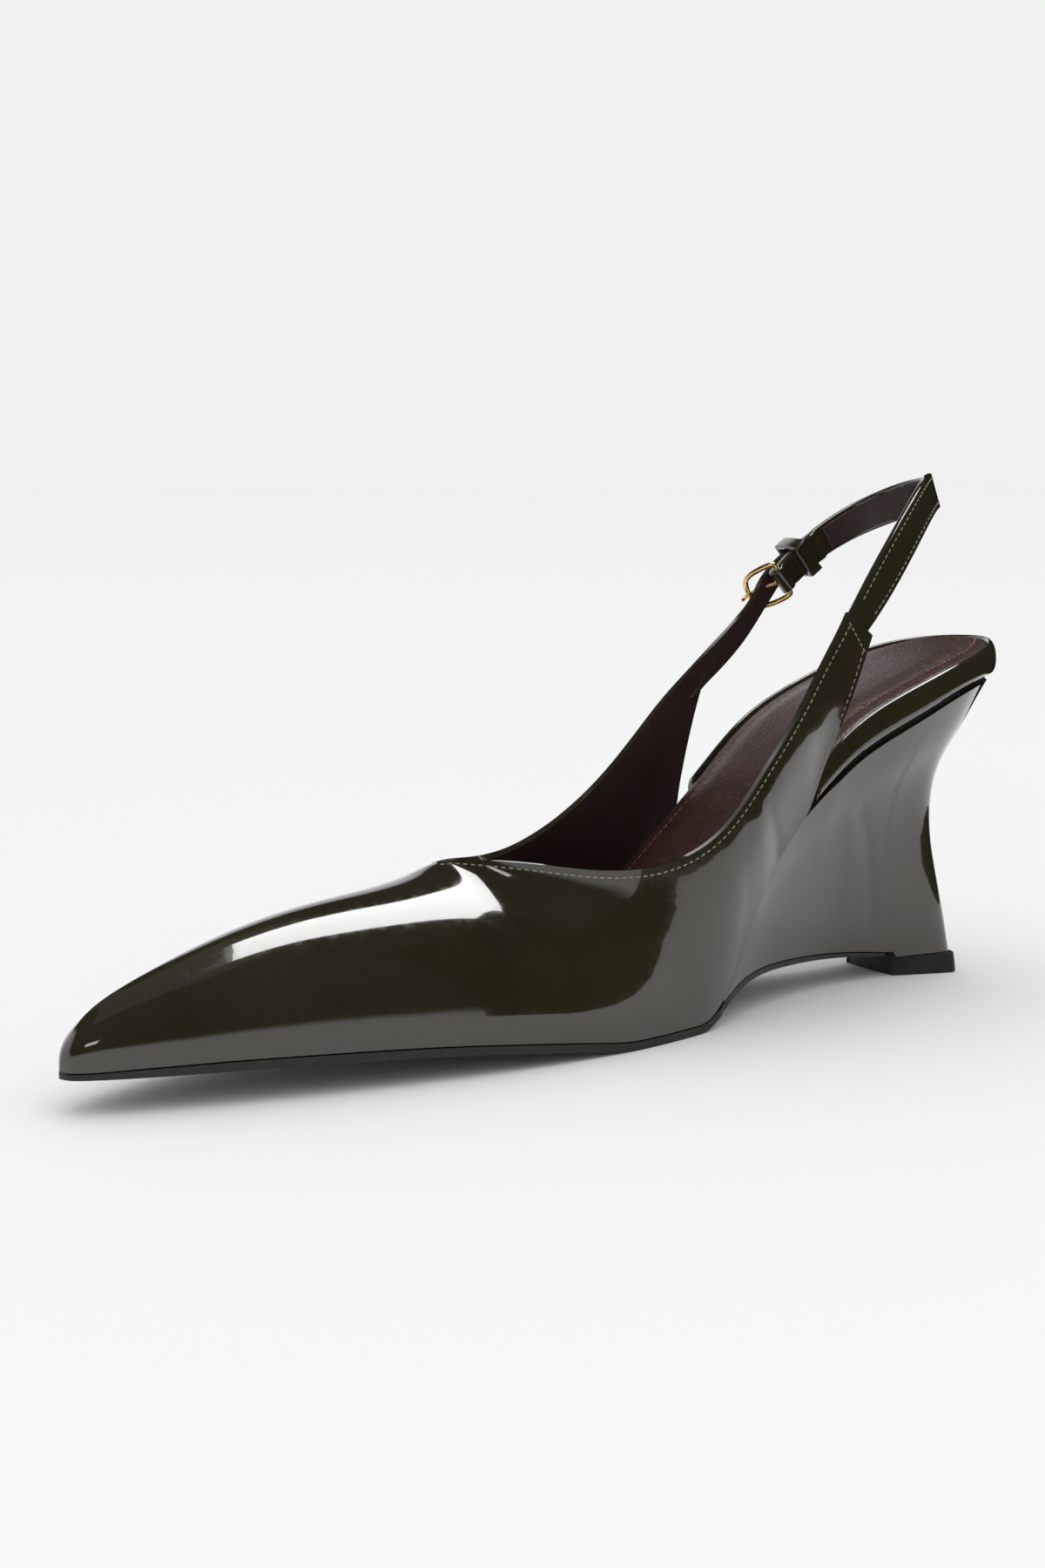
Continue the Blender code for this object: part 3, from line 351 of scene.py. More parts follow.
def noise_of(tree, scale, detail=4.0, rough=0.5, stretch=(1, 1, 1)):
    """Cloudy variation."""
    noise = pattern_of(tree, "ShaderNodeTexNoise", scale, stretch)
    noise.inputs["Detail"].default_value = detail
    noise.inputs["Roughness"].default_value = rough
    return noise.outputs["Fac"]


def grain_of(tree, scale):
    """Pebbled leather grain."""
    return pattern_of(tree, "ShaderNodeTexVoronoi", scale).outputs["Distance"]


def ramp_of(tree, fac, low, high, a, b):
    """Colour that goes from a to b while the value goes from low to high."""
    ramp = tree.nodes.new("ShaderNodeValToRGB")
    ramp.color_ramp.elements[0].position = low
    ramp.color_ramp.elements[0].color = (*a, 1.0)
    ramp.color_ramp.elements[1].position = high
    ramp.color_ramp.elements[1].color = (*b, 1.0)
    tree.links.new(fac, ramp.inputs["Fac"])
    return ramp.outputs["Color"]


def range_of(tree, fac, low, high, a, b, blend='LINEAR'):
    """Value that goes from a to b while another goes from low to high."""
    node = tree.nodes.new("ShaderNodeMapRange")
    node.interpolation_type = blend
    node.inputs["From Min"].default_value = low
    node.inputs["From Max"].default_value = high
    node.inputs["To Min"].default_value = a
    node.inputs["To Max"].default_value = b
    tree.links.new(fac, node.inputs["Value"])
    return node.outputs["Result"]


def bump_of(tree, shader, heights, coat=False):
    """Chain of bumps: (height socket, strength, distance in metres)."""
    last = None
    for height, strength, distance in heights:
        bump = tree.nodes.new("ShaderNodeBump")
        bump.inputs["Strength"].default_value = strength
        bump.inputs["Distance"].default_value = distance
        tree.links.new(height, bump.inputs["Height"])
        if last is not None:
            tree.links.new(last, bump.inputs["Normal"])
        last = bump.outputs["Normal"]
    tree.links.new(last, shader.inputs["Normal"])
    if coat:
        tree.links.new(last, shader.inputs["Coat Normal"])


def patent_leather(name, colour, dark):
    """Lacquered leather: deep colour under a clear glossy film with faint waviness and dust marks."""
    mat, tree, s = shader_of(name, colour, 0.12, coat=1.0, coat_rough=0.012)
    blotch = noise_of(tree, 38.0, 3.0)
    tree.links.new(ramp_of(tree, blotch, 0.35, 0.70, dark, colour), s.inputs["Base Color"])
    scuff = noise_of(tree, 420.0, 6.0, 0.7)
    tree.links.new(range_of(tree, scuff, 0.45, 0.80, 0.08, 0.22), s.inputs["Roughness"])
    waves = noise_of(tree, 45.0, 2.0, 0.5, (0.6, 1.0, 1.6))
    dust = noise_of(tree, 420.0, 2.0)
    bump_of(tree, s, [(waves, 0.10, 0.0010), (dust, 0.035, 0.00012)], coat=True)
    return mat


def plain_leather(name, colour, dark, rough, grain, depth):
    """Unlacquered leather, rubber or thread: mottled colour, uneven gloss and a pebbled grain."""
    mat, tree, s = shader_of(name, colour, rough, spec=0.45)
    mottle = noise_of(tree, 120.0, 6.0, 0.6)
    tree.links.new(ramp_of(tree, mottle, 0.30, 0.72, dark, colour), s.inputs["Base Color"])
    wear = noise_of(tree, 700.0, 5.0)
    tree.links.new(range_of(tree, wear, 0.3, 0.7, rough - 0.08, rough + 0.10), s.inputs["Roughness"])
    bump_of(tree, s, [(grain_of(tree, grain), depth, 0.00012), (noise_of(tree, 260.0, 4.0), 0.25, 0.0002)])
    return mat


OLIVE = patent_leather("olive_patent", (0.026, 0.022, 0.0105), (0.020, 0.0165, 0.0075))
LINING = plain_leather("dark_lining", (0.035, 0.016, 0.014), (0.024, 0.010, 0.009), 0.42, 1100.0, 0.30)
SOCK = plain_leather("sock_leather", (0.066, 0.027, 0.021), (0.040, 0.016, 0.013), 0.36, 1300.0, 0.65)
# black of the outsole's edges; the same black also fills the groove under the seat band, where it is
# painted shade
EDGE_AND_GROOVE_SHADE = plain_leather("edge_black_and_groove_shade", (0.012, 0.009, 0.008), (0.007, 0.005, 0.005), 0.38, 700.0, 0.25)
SUEDE = plain_leather("sole_underside", (0.020, 0.014, 0.012), (0.012, 0.008, 0.007), 0.55, 800.0, 0.30)
LIFT_MAT = plain_leather("lift_black", (0.013, 0.013, 0.014), (0.008, 0.008, 0.009), 0.58, 500.0, 0.20)
THREAD = plain_leather("thread_olive", (0.300, 0.285, 0.220), (0.200, 0.190, 0.145), 0.50, 3000.0, 0.5)
THREAD_RED = plain_leather("thread_brown", (0.300, 0.085, 0.045), (0.200, 0.055, 0.030), 0.60, 3000.0, 0.5)
GOLD, gold_tree, gold_s = shader_of("gold_polish", (0.85, 0.58, 0.28), 0.16, metallic=1.0)
gold_wear = noise_of(gold_tree, 900.0, 5.0)
gold_tree.links.new(range_of(gold_tree, gold_wear, 0.35, 0.75, 0.10, 0.30), gold_s.inputs["Roughness"])
bump_of(gold_tree, gold_s, [(noise_of(gold_tree, 1500.0, 3.0), 0.08, 0.00005)])


# Mesh helpers
def new_object(name, verts, faces, mats, weld=True):
    """Mesh object from millimetre points of the work frame."""
    mesh = bpy.data.meshes.new(name)
    pts = [((float(v[0]) + ORIGIN_X) * MM, (float(v[1]) + ORIGIN_Y) * MM, float(v[2]) * MM) for v in verts]
    mesh.from_pydata(pts, [], [tuple(int(i) for i in f) for f in faces])
    for m in mats:
        mesh.materials.append(m)
    bm = bmesh.new()
    bm.from_mesh(mesh)
    if weld:
        bmesh.ops.remove_doubles(bm, verts=bm.verts, dist=2e-6)
    bmesh.ops.recalc_face_normals(bm, faces=bm.faces)
    bm.to_mesh(mesh)
    bm.free()
    for p in mesh.polygons:
        p.use_smooth = True
    obj = bpy.data.objects.new(name, mesh)
    bpy.context.scene.collection.objects.link(obj)
    return obj


def only(obj):
    """Select one object alone."""
    for o in bpy.context.selected_objects:
        o.select_set(False)
    obj.select_set(True)
    bpy.context.view_layer.objects.active = obj


def apply_all(obj):
    """Apply every modifier."""
    only(obj)
    for mod in list(obj.modifiers):
        bpy.ops.object.modifier_apply(modifier=mod.name)


def rounded(obj, width, segments=3, angle=50.0):
    """Round the edges sharper than an angle, by a width in millimetres."""
    mod = obj.modifiers.new("round", 'BEVEL')
    mod.width = width * MM
    mod.segments = segments
    mod.limit_method = 'ANGLE'
    mod.angle_limit = math.radians(angle)
    mod.harden_normals = True
    apply_all(obj)


def loft(rings, flip=False):
    """Points and faces of a closed solid through rings."""
    cols = len(rings[0])
    faces = grid_faces(len(rings), cols, flip=flip, wrap=True)
    faces.append(tuple(range(cols))[::-1])
    faces.append(tuple(range((len(rings) - 1) * cols, len(rings) * cols)))
    return np.vstack(rings), faces


def resample(points, pitch):
    """Points at equal steps along a polyline, with directions."""
    p = np.asarray(points, float)
    seg = np.linalg.norm(np.diff(p, axis=0), axis=1)
    s = np.concatenate([[0], np.cumsum(seg)])
    n = max(int(round(s[-1] / pitch)), 1)
    at = (np.arange(n) + 0.5) * s[-1] / n
    pos = np.stack([np.interp(at, s, p[:, k]) for k in range(3)], 1)
    ahead = np.stack([np.interp(np.minimum(at + 0.4, s[-1]), s, p[:, k]) for k in range(3)], 1)
    behind = np.stack([np.interp(np.maximum(at - 0.4, 0), s, p[:, k]) for k in range(3)], 1)
    d = ahead - behind
    d /= np.linalg.norm(d, axis=1)[:, None]
    return pos, d, at


def smooth_closed(points, count):
    """Closed smooth curve through control points, resampled."""
    p = np.asarray(points, float)
    n = len(p)
    out = []
    for i in range(n):
        a, b, c, d = p[(i - 1) % n], p[i], p[(i + 1) % n], p[(i + 2) % n]
        for j in range(count):
            t = j / count
            bend = (2 * a - 5 * b + 4 * c - d) * t * t + (3 * b - a - 3 * c + d) * t ** 3
            out.append(0.5 * (2 * b + (c - a) * t + bend))
    return np.array(out)


def fold_depth(x, z, rows):
    """How far a surface sinks at points of the side, from the soft folds in rows."""
    total = np.zeros_like(x)
    for row in rows:
        pts, depth, wide = row[:-2], row[-2], row[-1]
        best = np.full_like(x, 1e9)
        for (xa, za), (xb, zb) in zip(pts[:-1], pts[1:]):
            dx, dz = xb - xa, zb - za
            t = np.clip(((x - xa) * dx + (z - za) * dz) / (dx * dx + dz * dz), 0.0, 1.0)
            best = np.minimum(best, np.hypot(x - xa - t * dx, z - za - t * dz))
        total += depth * np.exp(-(best / wide) ** 2)
    return total


STITCH_SIDES = 6        # faces round a stitch


class Threads:
    """Stitches gathered into one mesh."""
    def __init__(self, name, mat, length, half, high):
        self.name, self.mat = name, mat
        self.length, self.half, self.high = length, half, high
        self.verts, self.faces = [], []

    def row(self, path, normals, pitch=1.8, lift=0.03):
        """Stitches at equal steps along a path on a surface with these normals."""
        pos, ahead, at = resample(path, pitch)
        p = np.asarray(path, float)
        s = np.concatenate([[0], np.cumsum(np.linalg.norm(np.diff(p, axis=0), axis=1))])
        nor = np.stack([np.interp(at, s, np.asarray(normals)[:, k]) for k in range(3)], 1)
        for c, d, n in zip(pos, ahead, nor):
            n = n / np.linalg.norm(n)
            side = np.cross(n, d)
            start = len(self.verts)
            for along, size in ((-0.5, 0.25), (-0.40, 0.8), (0.0, 1.0), (0.40, 0.8), (0.5, 0.25)):
                for k in range(STITCH_SIDES):
                    a = 2 * math.pi * k / STITCH_SIDES
                    self.verts.append(c + d * along * self.length + side * math.cos(a) * self.half * size
                                      + n * (lift + math.sin(a) * self.high * size - 0.08 * (1 - size)))
            self.faces += grid_faces(5, STITCH_SIDES, start=start, wrap=True)
            self.faces.append(tuple(range(start, start + STITCH_SIDES))[::-1])
            self.faces.append(tuple(range(start + 4 * STITCH_SIDES, start + 5 * STITCH_SIDES)))

    def build(self):
        """The stitches as one object."""
        return new_object(self.name, self.verts, self.faces, [self.mat], weld=False)


def settle(obj, slot, *nodes):
    """Fix a piece to the shoe and hide the imported nodes it stands for; the finish slot is not used."""
    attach(obj, "root")
    if nodes:
        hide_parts(*nodes)
    return obj


# Outsole and lift
top_med, top_lat, in_med, in_lat = inset(0.0)
start = int(np.searchsorted(WAIST[:, 4], (LIFT_FRONT + 0.010) * LENGTH))
last = len(WAIST) - STEPS
sole_med = np.vstack([WAIST[start:last, [4, 5]], DENSE[last:, [0, 1]]])
sole_lat = np.vstack([WAIST[start:last, [4, 6]], DENSE[last:, [0, 2]]])
SOLE_ACROSS = 9         # points across the outsole
rings = []
for m, l in zip(sole_med, sole_lat):
    share = np.linspace(0, 1, SOLE_ACROSS)[:, None]
    base = m * (1 - share) + l * share
    x = m[0]
    top = np.column_stack([base, np.full(SOLE_ACROSS, float(sole_top(x)))])
    low = np.column_stack([base, np.full(SOLE_ACROSS, float(under_z(x)))])
    rings.append(np.vstack([top, low[::-1]]))
verts, faces = loft(rings)
sole = new_object("sole_leather", verts, faces, [EDGE_AND_GROOVE_SHADE, SUEDE])
for p in sole.data.polygons:
    p.material_index = 1 if p.normal.z < -0.7 else 0
rounded(sole, 0.25, 2)
settle(sole, "outsole_leather", "outsole")

LIFT_PLAN = table(
    "along side",
    (0.0650, -0.030), (0.0650, 0.060), (0.0662, 0.130), (0.0695, 0.175), (0.0755, 0.192),
    (0.0850, 0.184), (0.1340, 0.112), (0.1365, 0.095), (0.1385, 0.040), (0.1390, -0.030),
    (0.1385, -0.100), (0.1365, -0.155), (0.1340, -0.172), (0.0850, -0.244), (0.0755, -0.252),
    (0.0695, -0.235), (0.0662, -0.190), (0.0650, -0.120),
)
LIFT_CENTRE = np.array([29.0, -2.0])    # the lift tapers towards this point
plan = np.column_stack([LIFT_PLAN["along"] * LENGTH, LIFT_PLAN["side"] * BALL_WIDTH])
plan = smooth_closed(plan, 5)[:, :2]
rings = []
for z, grow in ((0.0, 0.995), (0.3, 1.0), (1.6, 0.994), (3.4, 0.981), (LIFT - 0.25, 0.966), (LIFT, 0.960)):
    p = LIFT_CENTRE + (plan - LIFT_CENTRE) * grow
    rings.append(np.column_stack([p, np.full(len(p), z)]))
verts, faces = loft(rings)
lift_obj = new_object("lift_rubber_piece", verts, faces, [LIFT_MAT])
rounded(lift_obj, 0.15, 2, 60)
settle(lift_obj, "lift_rubber", "heel_lift")

# Wedge
CURL = table(
    "down share",
    (0.00, 0.000), (0.06, 0.190), (0.13, 0.380), (0.20, 0.610), (0.26, 0.820), (0.32, 0.945), (0.38, 1.000),
    (0.46, 0.985), (0.54, 0.915), (0.63, 0.765), (0.73, 0.545), (0.84, 0.310), (0.93, 0.130), (1.00, 0.000),
)
WAIST_DOWN = 0.40       # how far down the waist lies, as a share of the wedge's height
CREASES = (  # soft troughs on the wedge's medial side: along, height (mm), depth, half width
    ((55.5, 47.0), (51.5, 40.0), (48.8, 31.0), (47.0, 22.0), (46.6, 15.0), 0.16, 1.5),
    ((60.0, 47.0), (57.0, 38.0), (55.5, 28.0), (55.5, 18.0), -0.07, 2.2),
)
ledge = np.concatenate([WAIST[:, 0], np.full(len(DENSE) - len(WAIST), WAIST[-1, 0])])
led_med, led_lat, _, _ = inset(ledge)
edge = np.interp(DENSE[:, 0], [0.306 * LENGTH, 0.35 * LENGTH], [RAND + 0.1 + GAP, WALL + 2 * GAP])
ins_med, ins_lat, _, _ = inset(edge)
ins_x = 0.5 * (ins_med[:, 0] + ins_lat[:, 0])
stop = int(np.searchsorted(DENSE[:, 0], 0.4015 * LENGTH))
fine = spline(np.stack([CURL["down"], CURL["share"]], 1), 4)
rings = []
for i in range(stop):
    ribs = []
    for side, k in ((led_med, 0), (led_lat, 1)):
        x0, y0 = side[i]
        drop = GROOVE * float(np.interp(x0, [0.255 * LENGTH, 0.30 * LENGTH], [1.0, 0.0]))
        high = np.array([x0, y0, float(feather_z(x0)) - drop])
        foot = np.array([WAIST[i, 4], WAIST[i, 5 + k], float(foot_z(WAIST[i, 4]))])
        waist = np.array([WAIST[i, 1], WAIST[i, 2 + k]]) - (high + WAIST_DOWN * (foot - high))[:2]
        t = fine[:, :1]
        line = high * (1 - t) + foot * t
        line[:, :2] += waist * fine[:, 1:2]
        if k == 0:
            line[:, 1] -= fold_depth(line[:, 0], line[:, 2], CREASES)
        ribs.append(line)
    rings.append(np.vstack([ribs[0], ribs[1][::-1]]))
verts, faces = loft(rings)
wedge = new_object("wedge_cover", verts, faces, [OLIVE])
rounded(wedge, 0.5, 3, 55)
settle(wedge, "patent_leather", "wedge")
# dark block filling the groove between the seat band and the wedge: its black is painted shade in that
# recess
block_end = int(np.searchsorted(DENSE[:, 0], 0.498 * LENGTH))
rings = []
for i in range(0, block_end, 3):
    ring = []
    for x, y in (ins_med[i], ins_lat[i]):
        ring.append((x, y, float(seat_z(ins_x[i]) - tilt(x, y)) - GAP))
    for x, y in (ins_lat[i], ins_med[i]):
        ring.append((x, y, max(float(feather_z(x)) - GROOVE - 0.6, float(deck_z(x)) + 0.05)))
    rings.append(np.array(ring))
verts, faces = loft(rings)
settle(new_object("wedge_groove_painted_shade", verts, faces, [EDGE_AND_GROOVE_SHADE]), "patent_leather")

# Covered band round the seat
PROFILE = table(
    "inwards up",
    (0.25, 0.00), (0.00, 0.16), (-0.02, 0.40), (0.03, 0.64), (0.22, 0.84),
    (0.50, 0.97), (0.72, 1.00), (0.92, 0.95), (1.00, 0.82), (1.00, 0.00),
)
RAND_MEDIAL = 0.2860    # share of the length where the band ends beside the medial quarter
RAND_LATERAL = 0.3010   # and beside the lateral quarter
RAND_PROUD = 0.7        # how far the band stands above the edge of the insole


def rand_ring(side, inward, i):
    """Section of the band at one point of the outline."""
    x, y = side[i]
    low = float(feather_z(x)) + float(np.interp(x, [0.255 * LENGTH, 0.30 * LENGTH], [0.0, GAP]))
    high = float(seat_z(x) - tilt(x, y)) + INSOLE + RAND_PROUD
    ring = []
    for across, up in zip(PROFILE["inwards"], PROFILE["up"]):
        z = low + (high - low) * up
        ring.append((x + inward[i][0] * (across * RAND + 0.1), y + inward[i][1] * (across * RAND + 0.1), z))
    return np.array(ring)


PROFILE = dict(zip(("inwards", "up"), spline(np.stack([PROFILE["inwards"], PROFILE["up"]], 1), 3).T))
end_m = int(np.searchsorted(DENSE[:, 0], RAND_MEDIAL * LENGTH))
end_l = int(np.searchsorted(DENSE[:, 0], RAND_LATERAL * LENGTH))
rings = [rand_ring(top_med, in_med, i) for i in range(end_m, 0, -1)]
rings += [rand_ring(top_lat, in_lat, i) for i in range(0, end_l + 1)]
# both ends are trimmed to a fixed station; the medial one leans back beside the quarter's rear edge
for k, station, lean in ((0, RAND_MEDIAL * LENGTH, 3.4), (-1, RAND_LATERAL * LENGTH, 0.0)):
    other = rings[1] if k == 0 else rings[-2]
    end = rings[k]
    step = end[:, 0] - other[:, 0]
    share = (station - other[:, 0]) / np.where(np.abs(step) < 1e-6, 1.0, step)
    end = other + (end - other) * share[:, None]
    end[:, 0] -= lean * (end[:, 2] - end[:, 2].min()) / (end[:, 2].max() - end[:, 2].min())
    rings[k] = end
verts, faces = loft(rings, flip=True)
band = new_object("seat_band", verts, faces, [OLIVE])
rounded(band, 0.25, 2, 60)
settle(band, "patent_leather", "heel_rand")

# Insole
ACROSS = 41             # points across the insole
SEAM_IN = 4.0           # distance of the stitched seam from the insole's edge
SEAM_DEEP = 0.22        # depth of the trough that the seam pulls
SEAM_WIDE = 0.55        # and its half width
pad = PAD * np.interp(ins_x, [0.0, 12.0, 0.42 * LENGTH, 0.55 * LENGTH], [0.5, 1.0, 1.0, 0.0])
share = 0.5 - 0.5 * np.cos(np.linspace(0, math.pi, ACROSS))[:, None]
crown = np.clip(np.minimum(share, 1 - share)[:, 0] * 4.0, 0, 1)
crown = crown * crown * (3 - 2 * crown)
rings = []
tops = []
for i in range(0, len(DENSE), 2):
    m, l = ins_med[i], ins_lat[i]
    base = m * (1 - share) + l * share
    drop = tilt(base[:, 0], base[:, 1])
    low = float(seat_z(ins_x[i]))
    wide = abs(m[1] - l[1])
    off = np.minimum(share, 1 - share)[:, 0] * wide
    seam = -SEAM_DEEP * np.exp(-((off - SEAM_IN) / SEAM_WIDE) ** 2) * (wide > 12)
    curl_edge = -0.55 * np.exp(-(off / 0.7) ** 2)
    top_z = low + INSOLE + pad[i] * min(1.0, wide / 30.0) * crown - drop + seam + curl_edge
    top = np.column_stack([base, top_z])
    bottom = np.column_stack([base[::4], (low - drop * np.ones(ACROSS))[::4]])
    rings.append(np.vstack([top, bottom[::-1]]))
    tops.append(top)
verts, faces = loft(rings)
insole = new_object("insole_pad", verts, faces, [SOCK])
settle(insole, "brown_lining", "insole")
sock_thread = Threads("insole_stitches", THREAD_RED, 1.55, 0.26, 0.20)
tops = np.array(tops)
row_m, row_l = [], []
for line in tops:
    wide = abs(line[0, 1] - line[-1, 1])
    if wide < 14:
        continue
    off = np.minimum(share, 1 - share)[:, 0] * wide
    half = ACROSS // 2
    row_m.append([np.interp(SEAM_IN, off[:half + 1], line[:half + 1, k]) for k in range(3)])
    row_l.append([np.interp(SEAM_IN, off[half:][::-1], line[half:, k][::-1]) for k in range(3)])
loop = np.array(row_l[::-1] + row_m)
SEAM_END = 175.0        # the seam runs under the vamp and stops here
loop = loop[loop[:, 0] < SEAM_END]
sock_thread.row(loop, np.tile([0.0, 0.0, 1.0], (len(loop), 1)), pitch=2.1, lift=0.13)
settle(sock_thread.build(), "brown_lining")

# Upper
UPPER_COLUMNS = "low_x low_y low_up top_x top_y top_z lean turn reach_low reach_top"
MEDIAL = table(
    UPPER_COLUMNS,
    (1.0030, 0.048, 0.000, 0.9900, 0.044, 0.1800, 14, 40, 0.62, 0.60),
    (1.0000, 0.078, 0.000, 0.9865, 0.044, 0.1920, 14, 36, 0.62, 0.58),
    (0.9930, 0.104, 0.000, 0.9790, 0.043, 0.2120, 13, 30, 0.63, 0.56),
    (0.9800, 0.132, 0.000, 0.9650, 0.042, 0.2370, 11, 24, 0.62, 0.53),
    (0.9600, 0.164, 0.000, 0.9430, 0.040, 0.2640, 8, 15, 0.58, 0.48),
    (0.9250, 0.207, 0.000, 0.9080, 0.038, 0.3000, 5, 3, 0.56, 0.45),
    (0.8600, 0.277, 0.000, 0.8500, 0.038, 0.3520, 6, -4, 0.54, 0.45),
    (0.7900, 0.338, 0.000, 0.7860, 0.038, 0.3880, 6, -8, 0.53, 0.46),
    (0.7200, 0.388, 0.000, 0.7200, 0.036, 0.4040, 6, -10, 0.52, 0.46),
    (0.6720, 0.414, 0.000, 0.6770, 0.022, 0.4220, 6, -6, 0.52, 0.46),
    (0.6360, 0.430, 0.000, 0.6520, 0.006, 0.4470, 6, 4, 0.50, 0.44),
    (0.6020, 0.441, 0.000, 0.6390, 0.075, 0.4540, 7, 20, 0.46, 0.40),
    (0.5720, 0.444, 0.000, 0.6180, 0.172, 0.4560, 7, 38, 0.42, 0.36),
    (0.5420, 0.445, 0.000, 0.5870, 0.270, 0.4480, 8, 52, 0.40, 0.34),
    (0.5120, 0.437, 0.000, 0.5500, 0.338, 0.4300, 8, 63, 0.38, 0.32),
    (0.4800, 0.423, 0.000, 0.5120, 0.381, 0.4200, 8, 72, 0.36, 0.32),
    (0.4480, 0.401, 0.000, 0.4740, 0.408, 0.4280, 9, 79, 0.35, 0.32),
    (0.4200, 0.377, 0.000, 0.4400, 0.420, 0.4560, 10, 83, 0.34, 0.32),
    (0.3930, 0.353, 0.000, 0.4100, 0.421, 0.5040, 11, 85, 0.34, 0.32),
    (0.3680, 0.334, 0.000, 0.3830, 0.414, 0.5750, 12, 86, 0.33, 0.32),
    (0.3400, 0.322, 0.000, 0.3560, 0.404, 0.6580, 12, 87, 0.33, 0.32),
    (0.3140, 0.312, 0.000, 0.3350, 0.396, 0.7250, 12, 88, 0.33, 0.33),
    (0.2940, 0.309, 0.002, 0.3180, 0.388, 0.7860, 10, 89, 0.33, 0.33),
    (0.2830, 0.316, 0.070, 0.3020, 0.379, 0.8480, 8, 90, 0.33, 0.33),
    (0.2640, 0.325, 0.125, 0.2850, 0.371, 0.9100, 6, 90, 0.33, 0.33),
    (0.2465, 0.337, 0.200, 0.2715, 0.364, 0.9560, 4, 90, 0.33, 0.33),
    (0.2315, 0.352, 0.304, 0.2610, 0.357, 1.0000, 3, 90, 0.33, 0.33),
)
LATERAL = table(
    UPPER_COLUMNS,
    (1.0030, 0.048, 0.000, 0.9900, 0.044, 0.1800, 14, 40, 0.62, 0.60),
    (1.0000, 0.014, 0.000, 0.9865, 0.044, 0.1920, 14, 36, 0.62, 0.58),
    (0.9930, -0.014, 0.000, 0.9790, 0.043, 0.2120, 13, 30, 0.63, 0.56),
    (0.9800, -0.051, 0.000, 0.9650, 0.042, 0.2370, 11, 24, 0.62, 0.53),
    (0.9600, -0.093, 0.000, 0.9430, 0.040, 0.2640, 8, 18, 0.56, 0.47),
    (0.9250, -0.152, 0.000, 0.9080, 0.038, 0.3000, 5, 10, 0.50, 0.42),
    (0.8600, -0.259, 0.000, 0.8500, 0.038, 0.3520, 6, 8, 0.46, 0.40),
    (0.7900, -0.360, 0.000, 0.7860, 0.038, 0.3880, 6, 8, 0.43, 0.40),
    (0.7200, -0.449, 0.000, 0.7200, 0.036, 0.4040, 6, 10, 0.41, 0.42),
    (0.6720, -0.500, 0.000, 0.6770, 0.022, 0.4220, 6, 10, 0.40, 0.43),
    (0.6360, -0.529, 0.000, 0.6520, 0.006, 0.4470, 6, 12, 0.40, 0.43),
    (0.6020, -0.547, 0.000, 0.6260, -0.055, 0.4400, 6, 20, 0.39, 0.41),
    (0.5720, -0.552, 0.000, 0.5900, -0.125, 0.4250, 6, 30, 0.38, 0.38),
    (0.5420, -0.554, 0.000, 0.5500, -0.195, 0.4240, 7, 40, 0.36, 0.36),
    (0.5120, -0.543, 0.000, 0.5150, -0.252, 0.4380, 7, 50, 0.35, 0.34),
    (0.4800, -0.526, 0.000, 0.4750, -0.303, 0.4700, 8, 58, 0.34, 0.33),
    (0.4480, -0.501, 0.000, 0.4350, -0.343, 0.5220, 8, 66, 0.34, 0.33),
    (0.4200, -0.475, 0.000, 0.4000, -0.371, 0.5840, 8, 73, 0.33, 0.33),
    (0.3930, -0.444, 0.000, 0.3660, -0.392, 0.6620, 8, 79, 0.33, 0.33),
    (0.3680, -0.422, 0.000, 0.3380, -0.405, 0.7320, 8, 84, 0.33, 0.33),
    (0.3420, -0.404, 0.000, 0.3140, -0.412, 0.7850, 8, 87, 0.33, 0.33),
    (0.3220, -0.395, 0.000, 0.2940, -0.414, 0.8270, 8, 89, 0.33, 0.33),
    (0.3090, -0.391, 0.010, 0.2780, -0.413, 0.8640, 6, 90, 0.33, 0.33),
    (0.3140, -0.399, 0.134, 0.2640, -0.410, 0.8960, 5, 90, 0.33, 0.33),
    (0.3110, -0.403, 0.214, 0.2520, -0.408, 0.9230, 4, 90, 0.33, 0.33),
    (0.2920, -0.405, 0.256, 0.2410, -0.406, 0.9500, 3, 90, 0.33, 0.33),
    (0.2640, -0.406, 0.236, 0.2300, -0.406, 0.9760, 2, 90, 0.33, 0.33),
    (0.2340, -0.407, 0.250, 0.2220, -0.408, 0.9990, 1, 90, 0.33, 0.33),
    (0.2080, -0.414, 0.299, 0.2160, -0.415, 1.0200, 0, 90, 0.33, 0.33),
    (0.1960, -0.416, 0.324, 0.2080, -0.417, 1.0560, 0, 90, 0.33, 0.33),
    (0.1800, -0.415, 0.362, 0.1920, -0.416, 1.0990, 0, 90, 0.33, 0.33),
    (0.1600, -0.408, 0.389, 0.1720, -0.409, 1.1370, 0, 90, 0.33, 0.33),
    (0.1440, -0.398, 0.416, 0.1560, -0.399, 1.1640, 0, 90, 0.33, 0.33),
    (0.1370, -0.392, 0.437, 0.1460, -0.392, 1.1760, 0, 90, 0.33, 0.33),
)
RIBS = 8                # ribs per row
POINTS = 46             # points per rib


